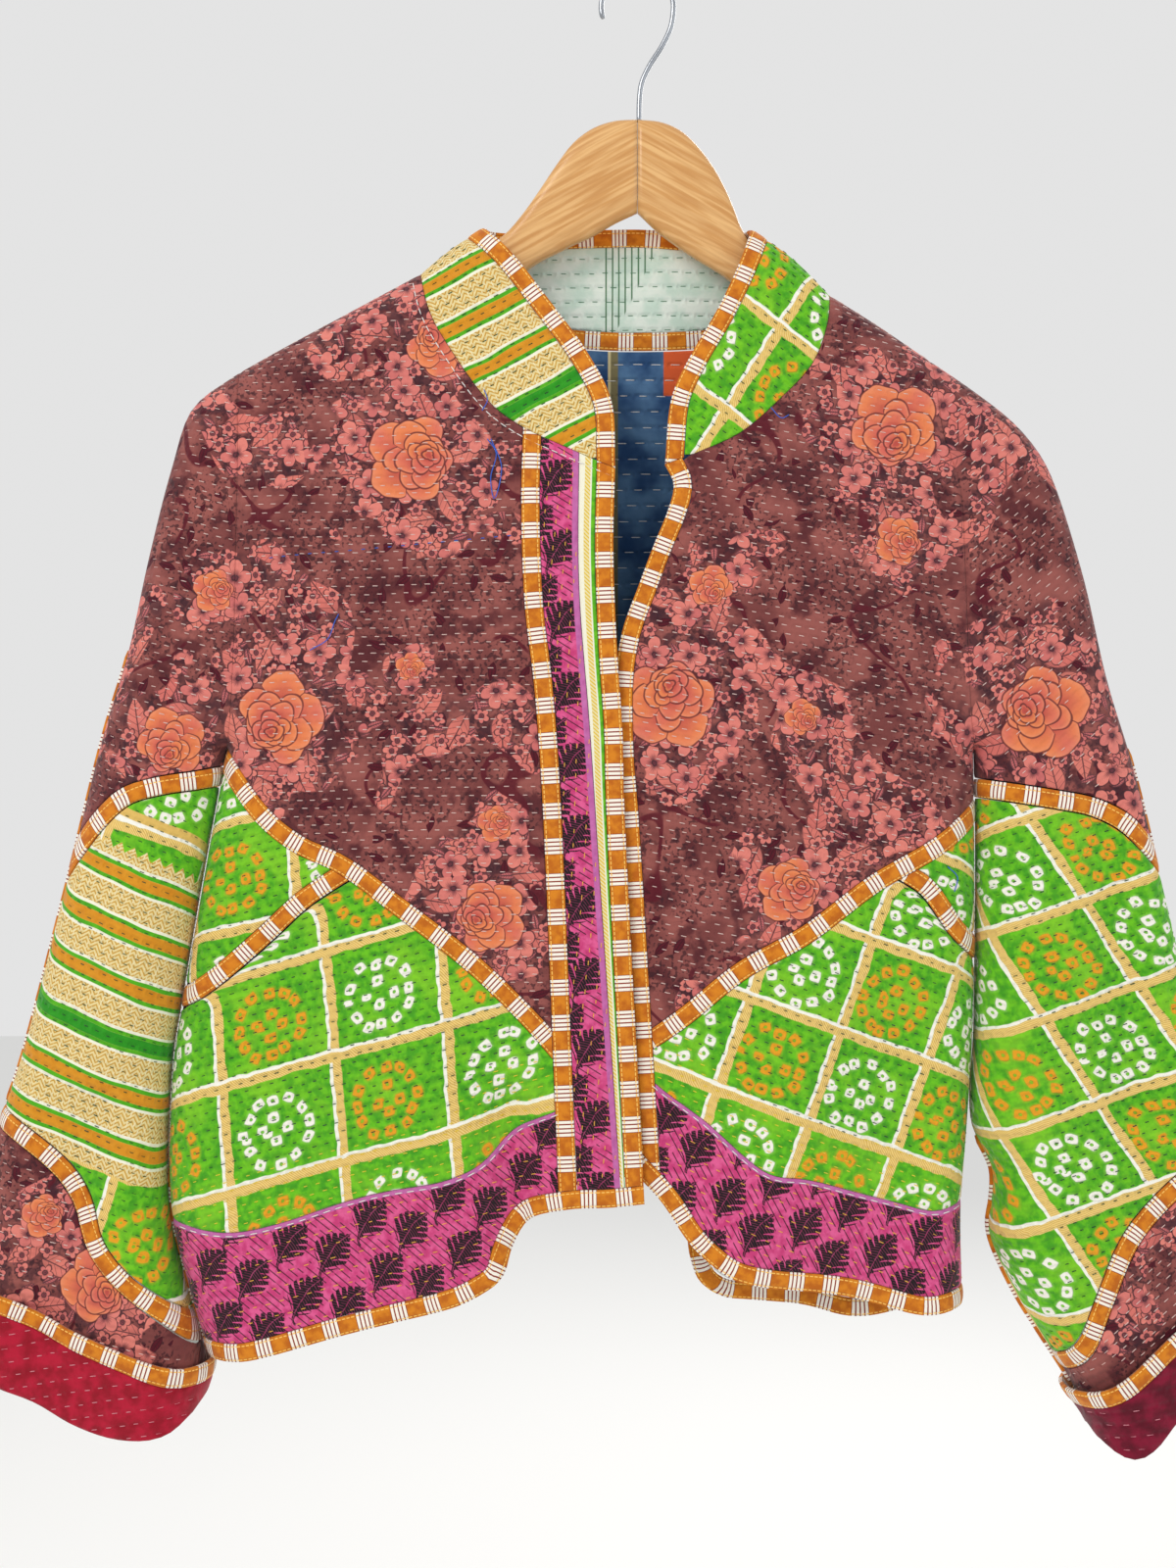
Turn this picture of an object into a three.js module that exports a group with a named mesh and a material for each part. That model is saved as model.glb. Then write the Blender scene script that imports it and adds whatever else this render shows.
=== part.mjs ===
// A quilted patchwork jacket hanging open on a wooden hanger.
// Millimetres, +Z up, the front faces -Y. The origin is the inside of the hook's top.
import * as THREE from 'three';

// Cloth
const wall = 2.4;
const seamGap = 0.3;
const roundGap = 0.85;
const bindingWidth = 10;
const bindingProud = 0.4;
const cuffClear = 0.5;
const cuffStandOff = 3.5;

// How far a facet may leave a curved seam
const chordLimit = 0.9;

// How far a line runs on past its ends when it looks for another
const lineRunOn = 25;
// The most of a panel's width that one rolled edge takes up
const largestRollShare = 0.3;
// Steps round a rolled edge, in radians
const turnAngles = [0.3, 0.62, 0.95, 1.3];

// Depth of the hung garment, measured from its middle plane
const depth = {
  shoulder: 15,
  front: 32,
  back: 27,
  sleeve: 8,
  fullAt: 220,
  sleeveFullAt: 150,
  shoulderRoll: 22,
  sideRoll: 28,
  tuck: 5,
  tuckWidth: 45,
};

// Hanger
const armThickness = 13;
const wireRadius = 1.5;
const hookRadius = 20.5;
const hookCentreZ = -19;

const front = -1;
const back = 1;

const mix = (a, b, t) => a + (b - a) * t;
const clamp = (t) => Math.min(Math.max(t, 0), 1);
const ease = (t) => clamp(t) ** 2 * (3 - 2 * clamp(t));

// Named columns for a short table
const table = (names, rows) => {
  const keys = names.split(' ');
  return rows.map((row) => Object.fromEntries(keys.map((key, i) => [key, row[i]])));
};

// A line on the hanging plane, measured along its own length
class Line {
  constructor(points) {
    this.points = points;
    this.reach = [0];
    for (let i = 1; i < points.length; i += 1) {
      const step = Math.hypot(points[i][0] - points[i - 1][0], points[i][1] - points[i - 1][1]);
      this.reach.push(this.reach[i - 1] + step);
    }
  }

  get length() {
    return this.reach[this.reach.length - 1];
  }

  // Runs straight on past both ends
  at(s) {
    let i = this.reach.findIndex((reach) => reach >= s) - 1;
    if (i === -2) i = this.points.length - 2;
    i = Math.max(i, 0);
    const t = (s - this.reach[i]) / (this.reach[i + 1] - this.reach[i]);
    const [a, b] = [this.points[i], this.points[i + 1]];
    return [mix(a[0], b[0], t), mix(a[1], b[1], t)];
  }

  // A line beside this one, d to the left of its travel
  beside(d) {
    const last = this.points.length - 1;
    const moved = this.points.map(([x, z], i) => {
      const a = this.points[Math.max(i - 1, 0)];
      const b = this.points[Math.min(i + 1, last)];
      const run = Math.hypot(b[0] - a[0], b[1] - a[1]);
      return [x - (d * (b[1] - a[1])) / run, z + (d * (b[0] - a[0])) / run];
    });
    return new Line(moved);
  }

  then(next) {
    return new Line([...this.points, ...next.points.slice(1)]);
  }

  reversed() {
    return new Line([...this.points].reverse());
  }

  // The start of this line, as far as another
  upTo(other) {
    const s = this.crossing(other);
    return new Line([...this.points.filter((_, i) => this.reach[i] < s - 1), this.at(s)]);
  }

  // The rest of this line, on from another
  onFrom(other) {
    const s = this.crossing(other);
    return new Line([this.at(s), ...this.points.filter((_, i) => this.reach[i] > s + 1)]);
  }

  // More points near another line, where the cloth rolls round it
  turnedAt(other) {
    const s = this.crossing(other);
    const away = s > this.length / 2 ? -1 : 1;
    const extra = turnAngles.map((angle) => s + away * depth.sideRoll * (1 - Math.cos(angle)));
    const near = (reach) => extra.some((place) => Math.abs(place - reach) < 1.5);
    const kept = this.reach.filter((reach, i) => i === 0 || reach === this.length || !near(reach));
    const places = [...kept, ...extra.filter((place) => place > 1 && place < this.length - 1)];
    return new Line(places.sort((a, b) => a - b).map((place) => this.at(place)));
  }

  // Where this line crosses another, both run on by a little
  crossing(other, runOn = lineRunOn) {
    const mine = [this.at(-runOn), ...this.points, this.at(this.length + runOn)];
    const theirs = [other.at(-runOn), ...other.points, other.at(other.length + runOn)];
    let best = null;
    for (let i = 0; i < mine.length - 1; i += 1) {
      for (let k = 0; k < theirs.length - 1; k += 1) {
        const hit = meet(mine[i], mine[i + 1], theirs[k], theirs[k + 1]);
        if (hit === null) continue;
        const from = i === 0 ? -runOn : this.reach[i - 1];
        const to = i === 0 ? 0 : i === mine.length - 2 ? this.length + runOn : this.reach[i];
        const s = mix(from, to, hit);
        const past = Math.max(-s, s - this.length, 0) + (k === 0 || k === theirs.length - 2 ? 1 : 0);
        if (best === null || past < best.past) best = { s, past };
      }
    }
    if (best === null) throw new Error('Two outlines never meet');
    return best.s;
  }

  // Distance to the line, negative across it from the inside, which is 1 for the left of its travel
  distance(x, z, inside = 1) {
    let best = Infinity;
    let sign = 1;
    const last = this.points.length - 2;
    for (let i = 0; i <= last; i += 1) {
      const [ax, az] = this.points[i];
      const [dx, dz] = [this.points[i + 1][0] - ax, this.points[i + 1][1] - az];
      const t = clamp(((x - ax) * dx + (z - az) * dz) / (dx * dx + dz * dz));
      const d = Math.hypot(x - ax - t * dx, z - az - t * dz);
      if (d < best) {
        const pastEnd = (i === 0 && t === 0) || (i === last && t === 1);
        best = d;
        sign = pastEnd || (dx * (z - az) - dz * (x - ax)) * inside >= 0 ? 1 : -1;
      }
    }
    return best * sign;
  }
}

// How far along a to b the segment c to d cuts it, or null
function meet(a, b, c, d) {
  const [ux, uz] = [b[0] - a[0], b[1] - a[1]];
  const [vx, vz] = [d[0] - c[0], d[1] - c[1]];
  const cross = ux * vz - uz * vx;
  if (Math.abs(cross) < 1e-9) return null;
  const s = ((c[0] - a[0]) * vz - (c[1] - a[1]) * vx) / cross;
  const t = ((c[0] - a[0]) * uz - (c[1] - a[1]) * ux) / cross;
  return s >= 0 && s <= 1 && t >= 0 && t <= 1 ? s : null;
}

// The fewest of a line's points that keep it within the chord limit
function thinned(points) {
  const [first, last] = [points[0], points[points.length - 1]];
  const chord = new Line([first, last]);
  const off = points.map(([x, z]) => Math.abs(chord.distance(x, z)));
  const widest = off.indexOf(Math.max(...off));
  if (off[widest] <= chordLimit) return [first, last];
  return [...thinned(points.slice(0, widest + 1)).slice(0, -1), ...thinned(points.slice(widest))];
}

// A smooth line through the rows of a table
function smooth(rows, step = 4) {
  const points = table('x z', rows).map(({ x, z }) => new THREE.Vector3(x, 0, z));
  const curve = new THREE.CatmullRomCurve3(points, false, 'centripetal');
  const count = Math.max(2, Math.round(curve.getLength() / step));
  return new Line(thinned(curve.getSpacedPoints(count).map((point) => [point.x, point.z])));
}

// The wearer's right is at -X. Lines run down unless noted.
const right = {
  collarSide: smooth([[-88, -145], [-106, -157], [-123, -171]]),
  shoulder: smooth([[-123, -171], [-162, -192], [-201, -213], [-226, -227]]),
  sleeveOuter: smooth([
    [-226, -227], [-252, -247], [-264, -281], [-277, -332], [-289, -387], [-302, -430], [-324, -519],
    [-349, -615], [-363, -659], [-371, -728], [-373, -785], [-373, -800],
  ]),
  armhole: smooth([
    [-225, -226], [-224, -285], [-225, -330], [-226, -375], [-229, -428], [-232.5, -441],
  ]),
  side: smooth([
    [-232.4, -441], [-238, -470], [-248, -526], [-258, -585], [-263, -617], [-264, -701], [-254, -744],
    [-242, -785],
  ]),
  sleeveInner: smooth([
    [-233, -441], [-240.5, -470], [-251.5, -526], [-262, -585], [-267, -617], [-268, -701],
    [-257, -746],
    [-246, -783], [-248, -812],
  ]),
  neck: smooth([
    [-123, -171], [-117, -195], [-106, -215], [-82, -248], [-63, -262], [-42, -272], [-11, -286],
  ]),
  opening: smooth([[-88, -145], [-71, -162], [-50, -189], [-28, -220], [-15, -247], [-13, -284]]),
  frontEdge: smooth([[-13, -284], [-14, -330], [-12, -385], [-9, -430], [-8, -470], [3, -688]]),
  placketSplit: smooth([[-33, -270], [-33, -350], [-27, -430], [-21, -520], [-9.5, -690]]),
  placket: smooth([[-59, -262], [-60, -300], [-58, -360], [-53, -403], [-49, -454], [-39, -690]]),
  slant: smooth([
    [-232, -449], [-208, -479], [-190, -493], [-164, -505], [-135, -526], [-92, -559], [-60, -590],
    [-45, -607],
  ]),
  pocket: smooth([[-160, -507], [-186, -524], [-208, -544], [-235, -567], [-250, -577], [-262, -582]]),
  bandTop: smooth([
    [-264, -705], [-227, -709], [-201, -704], [-147, -687], [-104, -677], [-86, -669], [-68, -651],
    [-44, -640],
  ]),
  hem: smooth([
    [-242, -782], [-218, -780], [-165, -765], [-112, -751], [-88, -741], [-75, -732], [-70, -717],
    [-60, -701],
    [-39, -695], [-16, -694], [3, -692],
  ]),
  seamUpper: smooth([
    [-313, -494], [-302, -481], [-286, -467], [-267, -461], [-247, -458], [-232, -455],
  ]),
  seamLower: smooth([
    [-361, -645], [-342, -656], [-320, -675], [-309, -693], [-303, -714], [-290, -732], [-259, -757],
    [-246, -769],
  ]),
  cuffTop: smooth([[-373, -736], [-350, -745], [-314, -762], [-271, -779], [-258, -784], [-246, -785]]),
  sleeveEnd: smooth([
    [-373, -786], [-357, -795], [-335, -803], [-313, -815], [-290, -822], [-268, -822], [-257, -818],
    [-249, -808],
  ]),
};

// The wearer's left is at +X. Lines run down unless noted.
const left = {
  collarSide: smooth([[65, -146], [88, -162], [109, -183]]),
  shoulder: smooth([[109, -183], [136, -200], [167, -221]]),
  sleeveOuter: smooth([
    [167, -221], [193, -239], [213, -255], [226, -270], [234, -284], [252, -340], [266, -401],
    [281, -451],
    [299, -525], [325, -635], [337, -673], [354, -733], [361, -765],
  ]),
  armhole: smooth([
    [166, -222], [171, -263], [180, -293], [183, -343], [185, -402], [187, -428], [190.5, -441],
  ]),
  side: smooth([[190.4, -441], [191, -492], [190, -596], [186, -660], [183, -700], [184, -754]]),
  sleeveInner: smooth([
    [191, -441], [193.8, -492], [193.5, -596], [192, -652], [202, -678], [201, -694], [199, -712],
    [212, -744],
    [227, -769], [245, -797], [256, -818], [258, -826],
  ]),
  neck: smooth([[109, -183], [106, -203], [98, -224], [79, -245], [57, -264], [33, -275], [14, -282]]),
  opening: smooth([[65, -146], [56, -170], [44, -195], [30, -219], [19, -243], [15, -282]]),
  frontEdge: smooth([
    [15, -282], [20, -293], [16, -309], [9, -326], [0, -350], [-9, -375], [-13, -400], [-13, -440],
    [-10, -480],
    [2, -680],
  ]),
  slant: smooth([
    [-4, -609], [21, -592], [57, -563], [94, -542], [131, -515], [163, -497], [176, -488], [190, -476],
  ]),
  pocket: smooth([[146, -508], [160, -517], [170, -530], [178, -541], [192, -553]]),
  bandTop: smooth([
    [-2, -616], [14, -630], [35, -645], [71, -674], [93, -678], [142, -692], [164, -697], [184, -694],
  ]),
  hem: smooth([
    [2, -680], [13, -692], [28, -714], [40, -725], [51, -732], [71, -737], [114, -743], [156, -754],
    [184, -752],
  ]),
  seamUpper: smooth([[190, -462], [217, -466], [236, -469], [256, -473], [272, -481], [287, -495]]),
  seamLower: smooth([[237, -786], [246, -775], [258, -746], [273, -713], [293, -690], [333, -658]]),
  cuffTop: smooth([[244, -798], [258, -795], [272, -785], [293, -766], [320, -744], [351, -719]]),
  sleeveEnd: smooth([
    [257, -821], [263, -830], [275, -834], [286, -827], [300, -811], [333, -788], [362, -763],
  ]),
};

right.slant = right.slant.turnedAt(right.side);
left.slant = left.slant.turnedAt(left.side);
right.pocket = right.pocket.turnedAt(right.side);
left.pocket = left.pocket.turnedAt(left.side);

// Both run from the wearer's right to the left
const backNeck = smooth([
  [-123, -171], [-95, -192], [-60, -201], [-5, -205], [50, -203], [85, -196], [109, -183],
]);
const backOpening = smooth([[-88, -145], [-38, -142], [0, -141], [35, -144], [65, -146]]);
const backHem = smooth([
  [-242, -783], [-218, -779], [-165, -763], [-112, -748], [-85, -731], [-64, -706], [-40, -693],
  [-10, -688], [12, -690], [24, -700], [29, -716], [31, -734], [37, -750], [50, -759], [68, -761],
  [97, -762], [124, -767], [150, -764], [184, -753],
]);

// Soft ridges and troughs, each from a to b, on the front or back
const folds = table('face ax az bx bz width height', [
  [front, -95, -745, -120, -600, 22, 8],
  [front, -66, -715, -72, -640, 13, -9],
  [front, -200, -300, -150, -470, 26, 6],
  [front, -165, -720, -205, -560, 24, -5],
  [front, 120, -300, 70, -480, 26, 5],
  [front, 60, -740, 95, -570, 24, 7],
  [front, 140, -745, 150, -600, 22, -5],
  [front, -280, -470, -300, -620, 18, 5],
  [front, 262, -470, 276, -640, 15, -6],
  [front, -330, -760, -300, -640, 16, -4],
  [back, -170, -780, -120, -480, 30, 8],
  [back, -50, -760, -40, -500, 28, -7],
  [back, 60, -760, 40, -470, 30, 8],
  [back, 130, -760, 150, -560, 24, -6],
  [back, -120, -250, -170, -430, 30, 6],
  [back, 90, -260, 130, -430, 28, 6],
  [back, -270, -480, -310, -650, 18, 5],
  [back, 235, -480, 290, -660, 18, 5],
]);
const foldLines = folds.map((fold) => ({
  ...fold,
  line: new Line([[fold.ax, fold.az], [fold.bx, fold.bz]]),
}));

const topLine = (half) => half.collarSide.then(half.shoulder).then(half.sleeveOuter);
const topRight = topLine(right);
const topLeft = topLine(left);

// The places that each part of the cloth closes at, with the inside positive
const bodyField = {
  tops: [(x, z) => topRight.distance(x, z, 1), (x, z) => topLeft.distance(x, z, -1)],
  sides: [(x, z) => right.side.distance(x, z, 1), (x, z) => left.side.distance(x, z, -1)],
  beyond: () => 0,
};
const sleeveField = (half, inward) => ({
  tops: [(x, z) => topLine(half).distance(x, z, inward)],
  sides: [(x, z) => half.sleeveInner.distance(x, z, -inward)],
  beyond: (x, z) => Math.abs(half.armhole.distance(x, z)),
});

// Square of how open the cloth is at a distance from the place where it closes
const openness = (distance, roll) => (distance < roll ? 1 - (1 - distance / roll) ** 2 : 1);

function depthSquared(x, z, face, field, tucked) {
  const tops = field.tops.map((distance) => distance(x, z));
  const sides = field.sides.map((distance) => distance(x, z));
  const nearTop = Math.min(...tops);
  const full = face === front ? depth.front : depth.back;
  let half = mix(depth.shoulder, full, ease(nearTop / depth.fullAt));
  half += depth.sleeve * ease(field.beyond(x, z) / depth.sleeveFullAt);
  for (const fold of foldLines) {
    if (fold.face === face) {
      half += fold.height * Math.exp(-((fold.line.distance(x, z) / fold.width) ** 2));
    }
  }
  if (tucked) half -= depth.tuck * (1 - ease((x - leftEdgeAt(z)) / depth.tuckWidth));
  let open = 1;
  for (const distance of tops) open *= openness(distance, depth.shoulderRoll);
  for (const distance of sides) open *= openness(distance, depth.sideRoll);
  return open * half * half;
}

// Where the left front edge lies at a height
function leftEdgeAt(z) {
  const { points } = left.frontEdge;
  const below = points.find((point) => point[1] <= z);
  return (below ?? points[points.length - 1])[0];
}

// A point of the cloth's outer surface over x, z, with the direction that faces out
function clothPoint(x, z, face, field, tucked, clear) {
  const h = 0.5;
  const squared = (px, pz) => depthSquared(px, pz, face, field, tucked);
  const y = Math.sqrt(Math.max(squared(x, z), 0));
  const slopeX = (squared(x + h, z) - squared(x - h, z)) / (2 * h);
  const slopeZ = (squared(x, z + h) - squared(x, z - h)) / (2 * h);
  const out = new THREE.Vector3(-slopeX, 2 * face * Math.max(y, 0), -slopeZ).normalize();
  return { at: new THREE.Vector3(x, face * (y + clear), z), out };
}

// Steps from 0 to 1, close together where the cloth rolls round an edge
function steps(count, { start = 0, end = 0 } = {}) {
  const turn = (roll, reversed) => {
    const places = [0, ...turnAngles].map((angle) => roll * (1 - Math.cos(angle)));
    return reversed ? places.map((place) => 1 - place).reverse() : places;
  };
  const head = start > 0 ? turn(start, false) : [0];
  const tail = end > 0 ? turn(end, true) : [1];
  const from = head[head.length - 1];
  const to = tail[0];
  const middle = [];
  for (let i = 1; i < count; i += 1) middle.push(mix(from, to, i / count));
  return [...head, ...middle, ...tail];
}

// Steps that meet every corner of an outline, so that neighbours share their facets' ends
function snapped(places, corners) {
  const last = places.length - 1;
  const held = [{ index: 0, at: 0 }];
  corners.forEach((corner, k) => {
    const lowest = held[held.length - 1].index + 1;
    const highest = last - (corners.length - k);
    let nearest = lowest;
    for (let i = lowest; i <= highest; i += 1) {
      if (Math.abs(places[i] - corner) < Math.abs(places[nearest] - corner)) nearest = i;
    }
    held.push({ index: nearest, at: corner });
  });
  held.push({ index: last, at: 1 });
  return places.map((place, i) => {
    const next = held.findIndex(({ index }) => index >= i);
    if (held[next].index === i) return held[next].at;
    const [a, b] = [held[next - 1], held[next]];
    const share = (place - places[a.index]) / (places[b.index] - places[a.index]);
    return mix(a.at, b.at, share);
  });
}

// The stretch of a line between two others, as a function of 0 to 1, with its corners
function stretch(line, from, to) {
  const a = line.crossing(from);
  const b = line.crossing(to);
  const clearOfEnds = 0.8 / Math.abs(b - a);
  const corners = line.reach
    .map((s) => (s - a) / (b - a))
    .filter((t) => t > clearOfEnds && t < 1 - clearOfEnds)
    .sort((first, second) => first - second);
  return { at: (t) => line.at(mix(a, b, t)), corners, length: Math.abs(b - a) };
}

// A grid of places between four outlines
function patch({ left: l, right: r, bottom: b, top: t, across, along, rolls = {} }) {
  const sides = {
    left: stretch(l, b, t),
    right: stretch(r, b, t),
    bottom: stretch(b, l, r),
    top: stretch(t, l, r),
  };
  const width = (sides.bottom.length + sides.top.length) / 2;
  const height = (sides.left.length + sides.right.length) / 2;
  const share = (on, roll, size) => (on ? Math.min(roll / size, largestRollShare) : 0);
  const enough = (count, first, second, rolled) => (
    Math.max(count, first.corners.length + 1 - rolled, second.corners.length + 1 - rolled)
  );
  const turns = turnAngles.length;
  const us = steps(enough(across, sides.bottom, sides.top, turns * (!!rolls.left + !!rolls.right)), {
    start: share(rolls.left, depth.sideRoll, width),
    end: share(rolls.right, depth.sideRoll, width),
  });
  const vs = steps(enough(along, sides.left, sides.right, turns * !!rolls.top), {
    end: share(rolls.top, depth.shoulderRoll, height),
  });
  const uBottom = snapped(us, sides.bottom.corners);
  const uTop = snapped(us, sides.top.corners);
  const vLeft = snapped(vs, sides.left.corners);
  const vRight = snapped(vs, sides.right.corners);
  const corner = [
    [sides.bottom.at(0), sides.bottom.at(1)],
    [sides.top.at(0), sides.top.at(1)],
  ];
  return vs.map((v, j) => us.map((u, i) => [0, 1].map((k) => {
    const ruled = mix(sides.bottom.at(uBottom[i])[k], sides.top.at(uTop[i])[k], v);
    const swept = mix(sides.left.at(vLeft[j])[k], sides.right.at(vRight[j])[k], u);
    const flat = mix(mix(corner[0][0][k], corner[0][1][k], u), mix(corner[1][0][k], corner[1][1][k], u), v);
    return ruled + swept - flat;
  })));
}

// A closed wall between two grids of points
function solid(outer, inner, closedRound) {
  const rows = outer.length;
  const columns = outer[0].length;
  const points = [...outer.flat(), ...inner.flat()];
  const index = (layer, j, i) => layer * rows * columns + j * columns + (i % columns);
  const triangles = [];
  const quad = (a, b, c, d) => triangles.push(a, b, c, a, c, d);
  const last = closedRound ? columns : columns - 1;
  for (let j = 0; j < rows - 1; j += 1) {
    for (let i = 0; i < last; i += 1) {
      quad(index(0, j, i), index(0, j, i + 1), index(0, j + 1, i + 1), index(0, j + 1, i));
      quad(index(1, j, i), index(1, j + 1, i), index(1, j + 1, i + 1), index(1, j, i + 1));
    }
  }
  for (let i = 0; i < last; i += 1) {
    quad(index(0, 0, i), index(1, 0, i), index(1, 0, i + 1), index(0, 0, i + 1));
    quad(index(0, rows - 1, i), index(0, rows - 1, i + 1), index(1, rows - 1, i + 1), index(1, rows - 1, i));
  }
  if (!closedRound) {
    for (let j = 0; j < rows - 1; j += 1) {
      quad(index(0, j, 0), index(0, j + 1, 0), index(1, j + 1, 0), index(1, j, 0));
      const end = columns - 1;
      quad(index(0, j, end), index(1, j, end), index(1, j + 1, end), index(0, j + 1, end));
    }
  }
  return facingOut(points, triangles);
}

// A geometry whose triangles face out, whichever way they were listed
function facingOut(points, triangles) {
  let volume = 0;
  for (let i = 0; i < triangles.length; i += 3) {
    const [a, b, c] = [0, 1, 2].map((k) => points[triangles[i + k]]);
    volume += a.dot(new THREE.Vector3().crossVectors(b, c));
  }
  const listed = volume > 0 ? triangles : triangles.reverse();
  const geometry = new THREE.BufferGeometry();
  const places = points.flatMap((p) => [p.x, p.y, p.z]);
  geometry.setAttribute('position', new THREE.Float32BufferAttribute(places, 3));
  geometry.setIndex(listed);
  geometry.computeVertexNormals();
  return geometry;
}

const offset = ({ at, out }, d) => at.clone().addScaledVector(out, d);

// A flat-hung panel: a wall over the patch, on the front or the back
function panel(outline, { face = front, field = bodyField, tucked = false, proud = 0 } = {}) {
  const grid = patch(outline).map((row) => (
    row.map(([x, z]) => clothPoint(x, z, face, field, tucked, seamGap / 2))
  ));
  const outer = grid.map((row) => row.map((point) => offset(point, proud)));
  const inner = grid.map((row) => row.map((point) => offset(point, -wall - proud / 2)));
  return solid(outer, inner, false);
}

// Closed rings of a sleeve, from its outer edge over the front to the inner edge and round the back
function rings(outline, field) {
  return patch({ ...outline, rolls: { left: true, right: true } }).map((row) => {
    const onEdge = (i) => i === 0 || i === row.length - 1;
    const place = ([x, z], i, face) => clothPoint(x, z, face, field, false, onEdge(i) ? 0 : seamGap / 2);
    const over = row.map((spot, i) => place(spot, i, front));
    const under = row.map((spot, i) => place(spot, i, back)).slice(1, -1).reverse();
    return [...over, ...under];
  });
}

function tube(grid, { proud = 0 } = {}) {
  const outer = grid.map((row) => row.map((point) => offset(point, proud)));
  const inner = grid.map((row) => row.map((point) => offset(point, -wall - proud / 2)));
  return solid(outer, inner, true);
}

const colours = {
  floral: 0x824b4e,
  lattice: 0x5faf1e,
  pink: 0xcd558c,
  zigzag: 0xb0762f,
  mint: 0xd7e6d7,
  binding: 0xc8965a,
  crimson: 0xa50f2d,
  burgundy: 0x6e0a28,
  wood: 0xd9b27a,
  steel: 0xb8bcc0,
};

const jacket = new THREE.Group();

function add(name, geometry, colour, { roughness = 0.9, metalness = 0 } = {}) {
  const material = new THREE.MeshStandardMaterial({ color: colours[colour], roughness, metalness });
  const mesh = new THREE.Mesh(geometry, material);
  mesh.name = name;
  jacket.add(mesh);
}

const edge = bindingWidth / 2;
const beyondEdge = edge + seamGap;
const beyondBinding = bindingWidth + seamGap;
const beyondRound = edge + roundGap;
const pocketTip = { right: -572, left: -543 };
const collarTip = { right: -279, left: -276 };
const level = (z) => new Line([[-300, z], [300, z]]);

// Outlines that several pieces share
const flank = {
  right: right.armhole.beside(roundGap / 2).then(right.side),
  left: left.armhole.beside(-roundGap / 2).then(left.side),
};
const placketEdge = right.placket.beside(-beyondEdge);
const leftInnerEdge = left.frontEdge.beside(beyondBinding);
const slantOver = { right: right.slant.beside(beyondEdge), left: left.slant.beside(beyondEdge) };
const slantUnder = { right: right.slant.beside(-beyondEdge), left: left.slant.beside(-beyondEdge) };

// Joins the end of one outline to the start of the next where they cross
const cornered = (first, second) => first.upTo(second).then(second.onFrom(first));

const rolledLeft = { left: true };
const rolledRight = { right: true };

add('yoke_right_front', panel({
  left: flank.right,
  right: cornered(right.neck.beside(-seamGap / 2), placketEdge),
  bottom: slantOver.right,
  top: right.shoulder,
  across: 8,
  along: 8,
  rolls: { left: true, top: true },
}), 'floral');

add('yoke_left_front', panel({
  left: cornered(left.neck.beside(seamGap / 2), leftInnerEdge),
  right: flank.left,
  bottom: slantOver.left,
  top: left.shoulder,
  across: 8,
  along: 8,
  rolls: { right: true, top: true },
}, { tucked: true }), 'floral');

add('slant_binding_right', panel({
  left: flank.right,
  right: placketEdge,
  bottom: right.slant.beside(-edge),
  top: right.slant.beside(edge),
  across: 10,
  along: 1,
  rolls: rolledLeft,
}, { proud: bindingProud }), 'binding');

add('slant_binding_left', panel({
  left: leftInnerEdge,
  right: flank.left,
  bottom: left.slant.beside(-edge),
  top: left.slant.beside(edge),
  across: 10,
  along: 1,
  rolls: rolledRight,
}, { tucked: true, proud: bindingProud }), 'binding');

add('pocket_facing_right', panel({
  left: right.side,
  right: right.pocket.beside(-beyondEdge),
  bottom: level(pocketTip.right),
  top: slantUnder.right,
  across: 4,
  along: 6,
  rolls: rolledLeft,
}), 'lattice');

add('pocket_facing_left', panel({
  left: left.pocket.beside(beyondEdge),
  right: left.side,
  bottom: level(pocketTip.left),
  top: slantUnder.left,
  across: 2,
  along: 4,
  rolls: rolledRight,
}, { tucked: true }), 'lattice');

add('pocket_binding_right', panel({
  left: right.side,
  right: slantUnder.right,
  bottom: right.pocket.beside(edge),
  top: right.pocket.beside(-edge),
  across: 6,
  along: 1,
  rolls: rolledLeft,
}, { proud: bindingProud }), 'binding');

add('pocket_binding_left', panel({
  left: slantUnder.left,
  right: left.side,
  bottom: left.pocket.beside(-edge),
  top: left.pocket.beside(edge),
  across: 3,
  along: 1,
  rolls: rolledRight,
}, { tucked: true, proud: bindingProud }), 'binding');

add('lower_front_right', panel({
  left: cornered(right.pocket.beside(beyondRound), right.side),
  right: placketEdge,
  bottom: right.bandTop.beside(seamGap / 2),
  top: slantUnder.right,
  across: 8,
  along: 9,
  rolls: rolledLeft,
}), 'lattice');

add('lower_front_left', panel({
  left: leftInnerEdge,
  right: cornered(left.pocket.beside(-beyondRound), left.side),
  bottom: left.bandTop.beside(seamGap / 2),
  top: slantUnder.left,
  across: 8,
  along: 9,
  rolls: rolledRight,
}, { tucked: true }), 'lattice');

add('hem_band_right', panel({
  left: right.side,
  right: placketEdge,
  bottom: right.hem.beside(beyondBinding),
  top: right.bandTop.beside(-seamGap / 2),
  across: 12,
  along: 4,
  rolls: rolledLeft,
}), 'pink');

add('hem_band_left', panel({
  left: leftInnerEdge,
  right: left.side,
  bottom: left.hem.beside(beyondBinding),
  top: left.bandTop.beside(-seamGap / 2),
  across: 10,
  along: 4,
  rolls: rolledRight,
}, { tucked: true }), 'pink');

add('hem_binding_right', panel({
  left: right.side,
  right: right.frontEdge,
  bottom: right.hem,
  top: right.hem.beside(bindingWidth),
  across: 18,
  along: 1,
  rolls: rolledLeft,
}, { proud: bindingProud }), 'binding');

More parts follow.
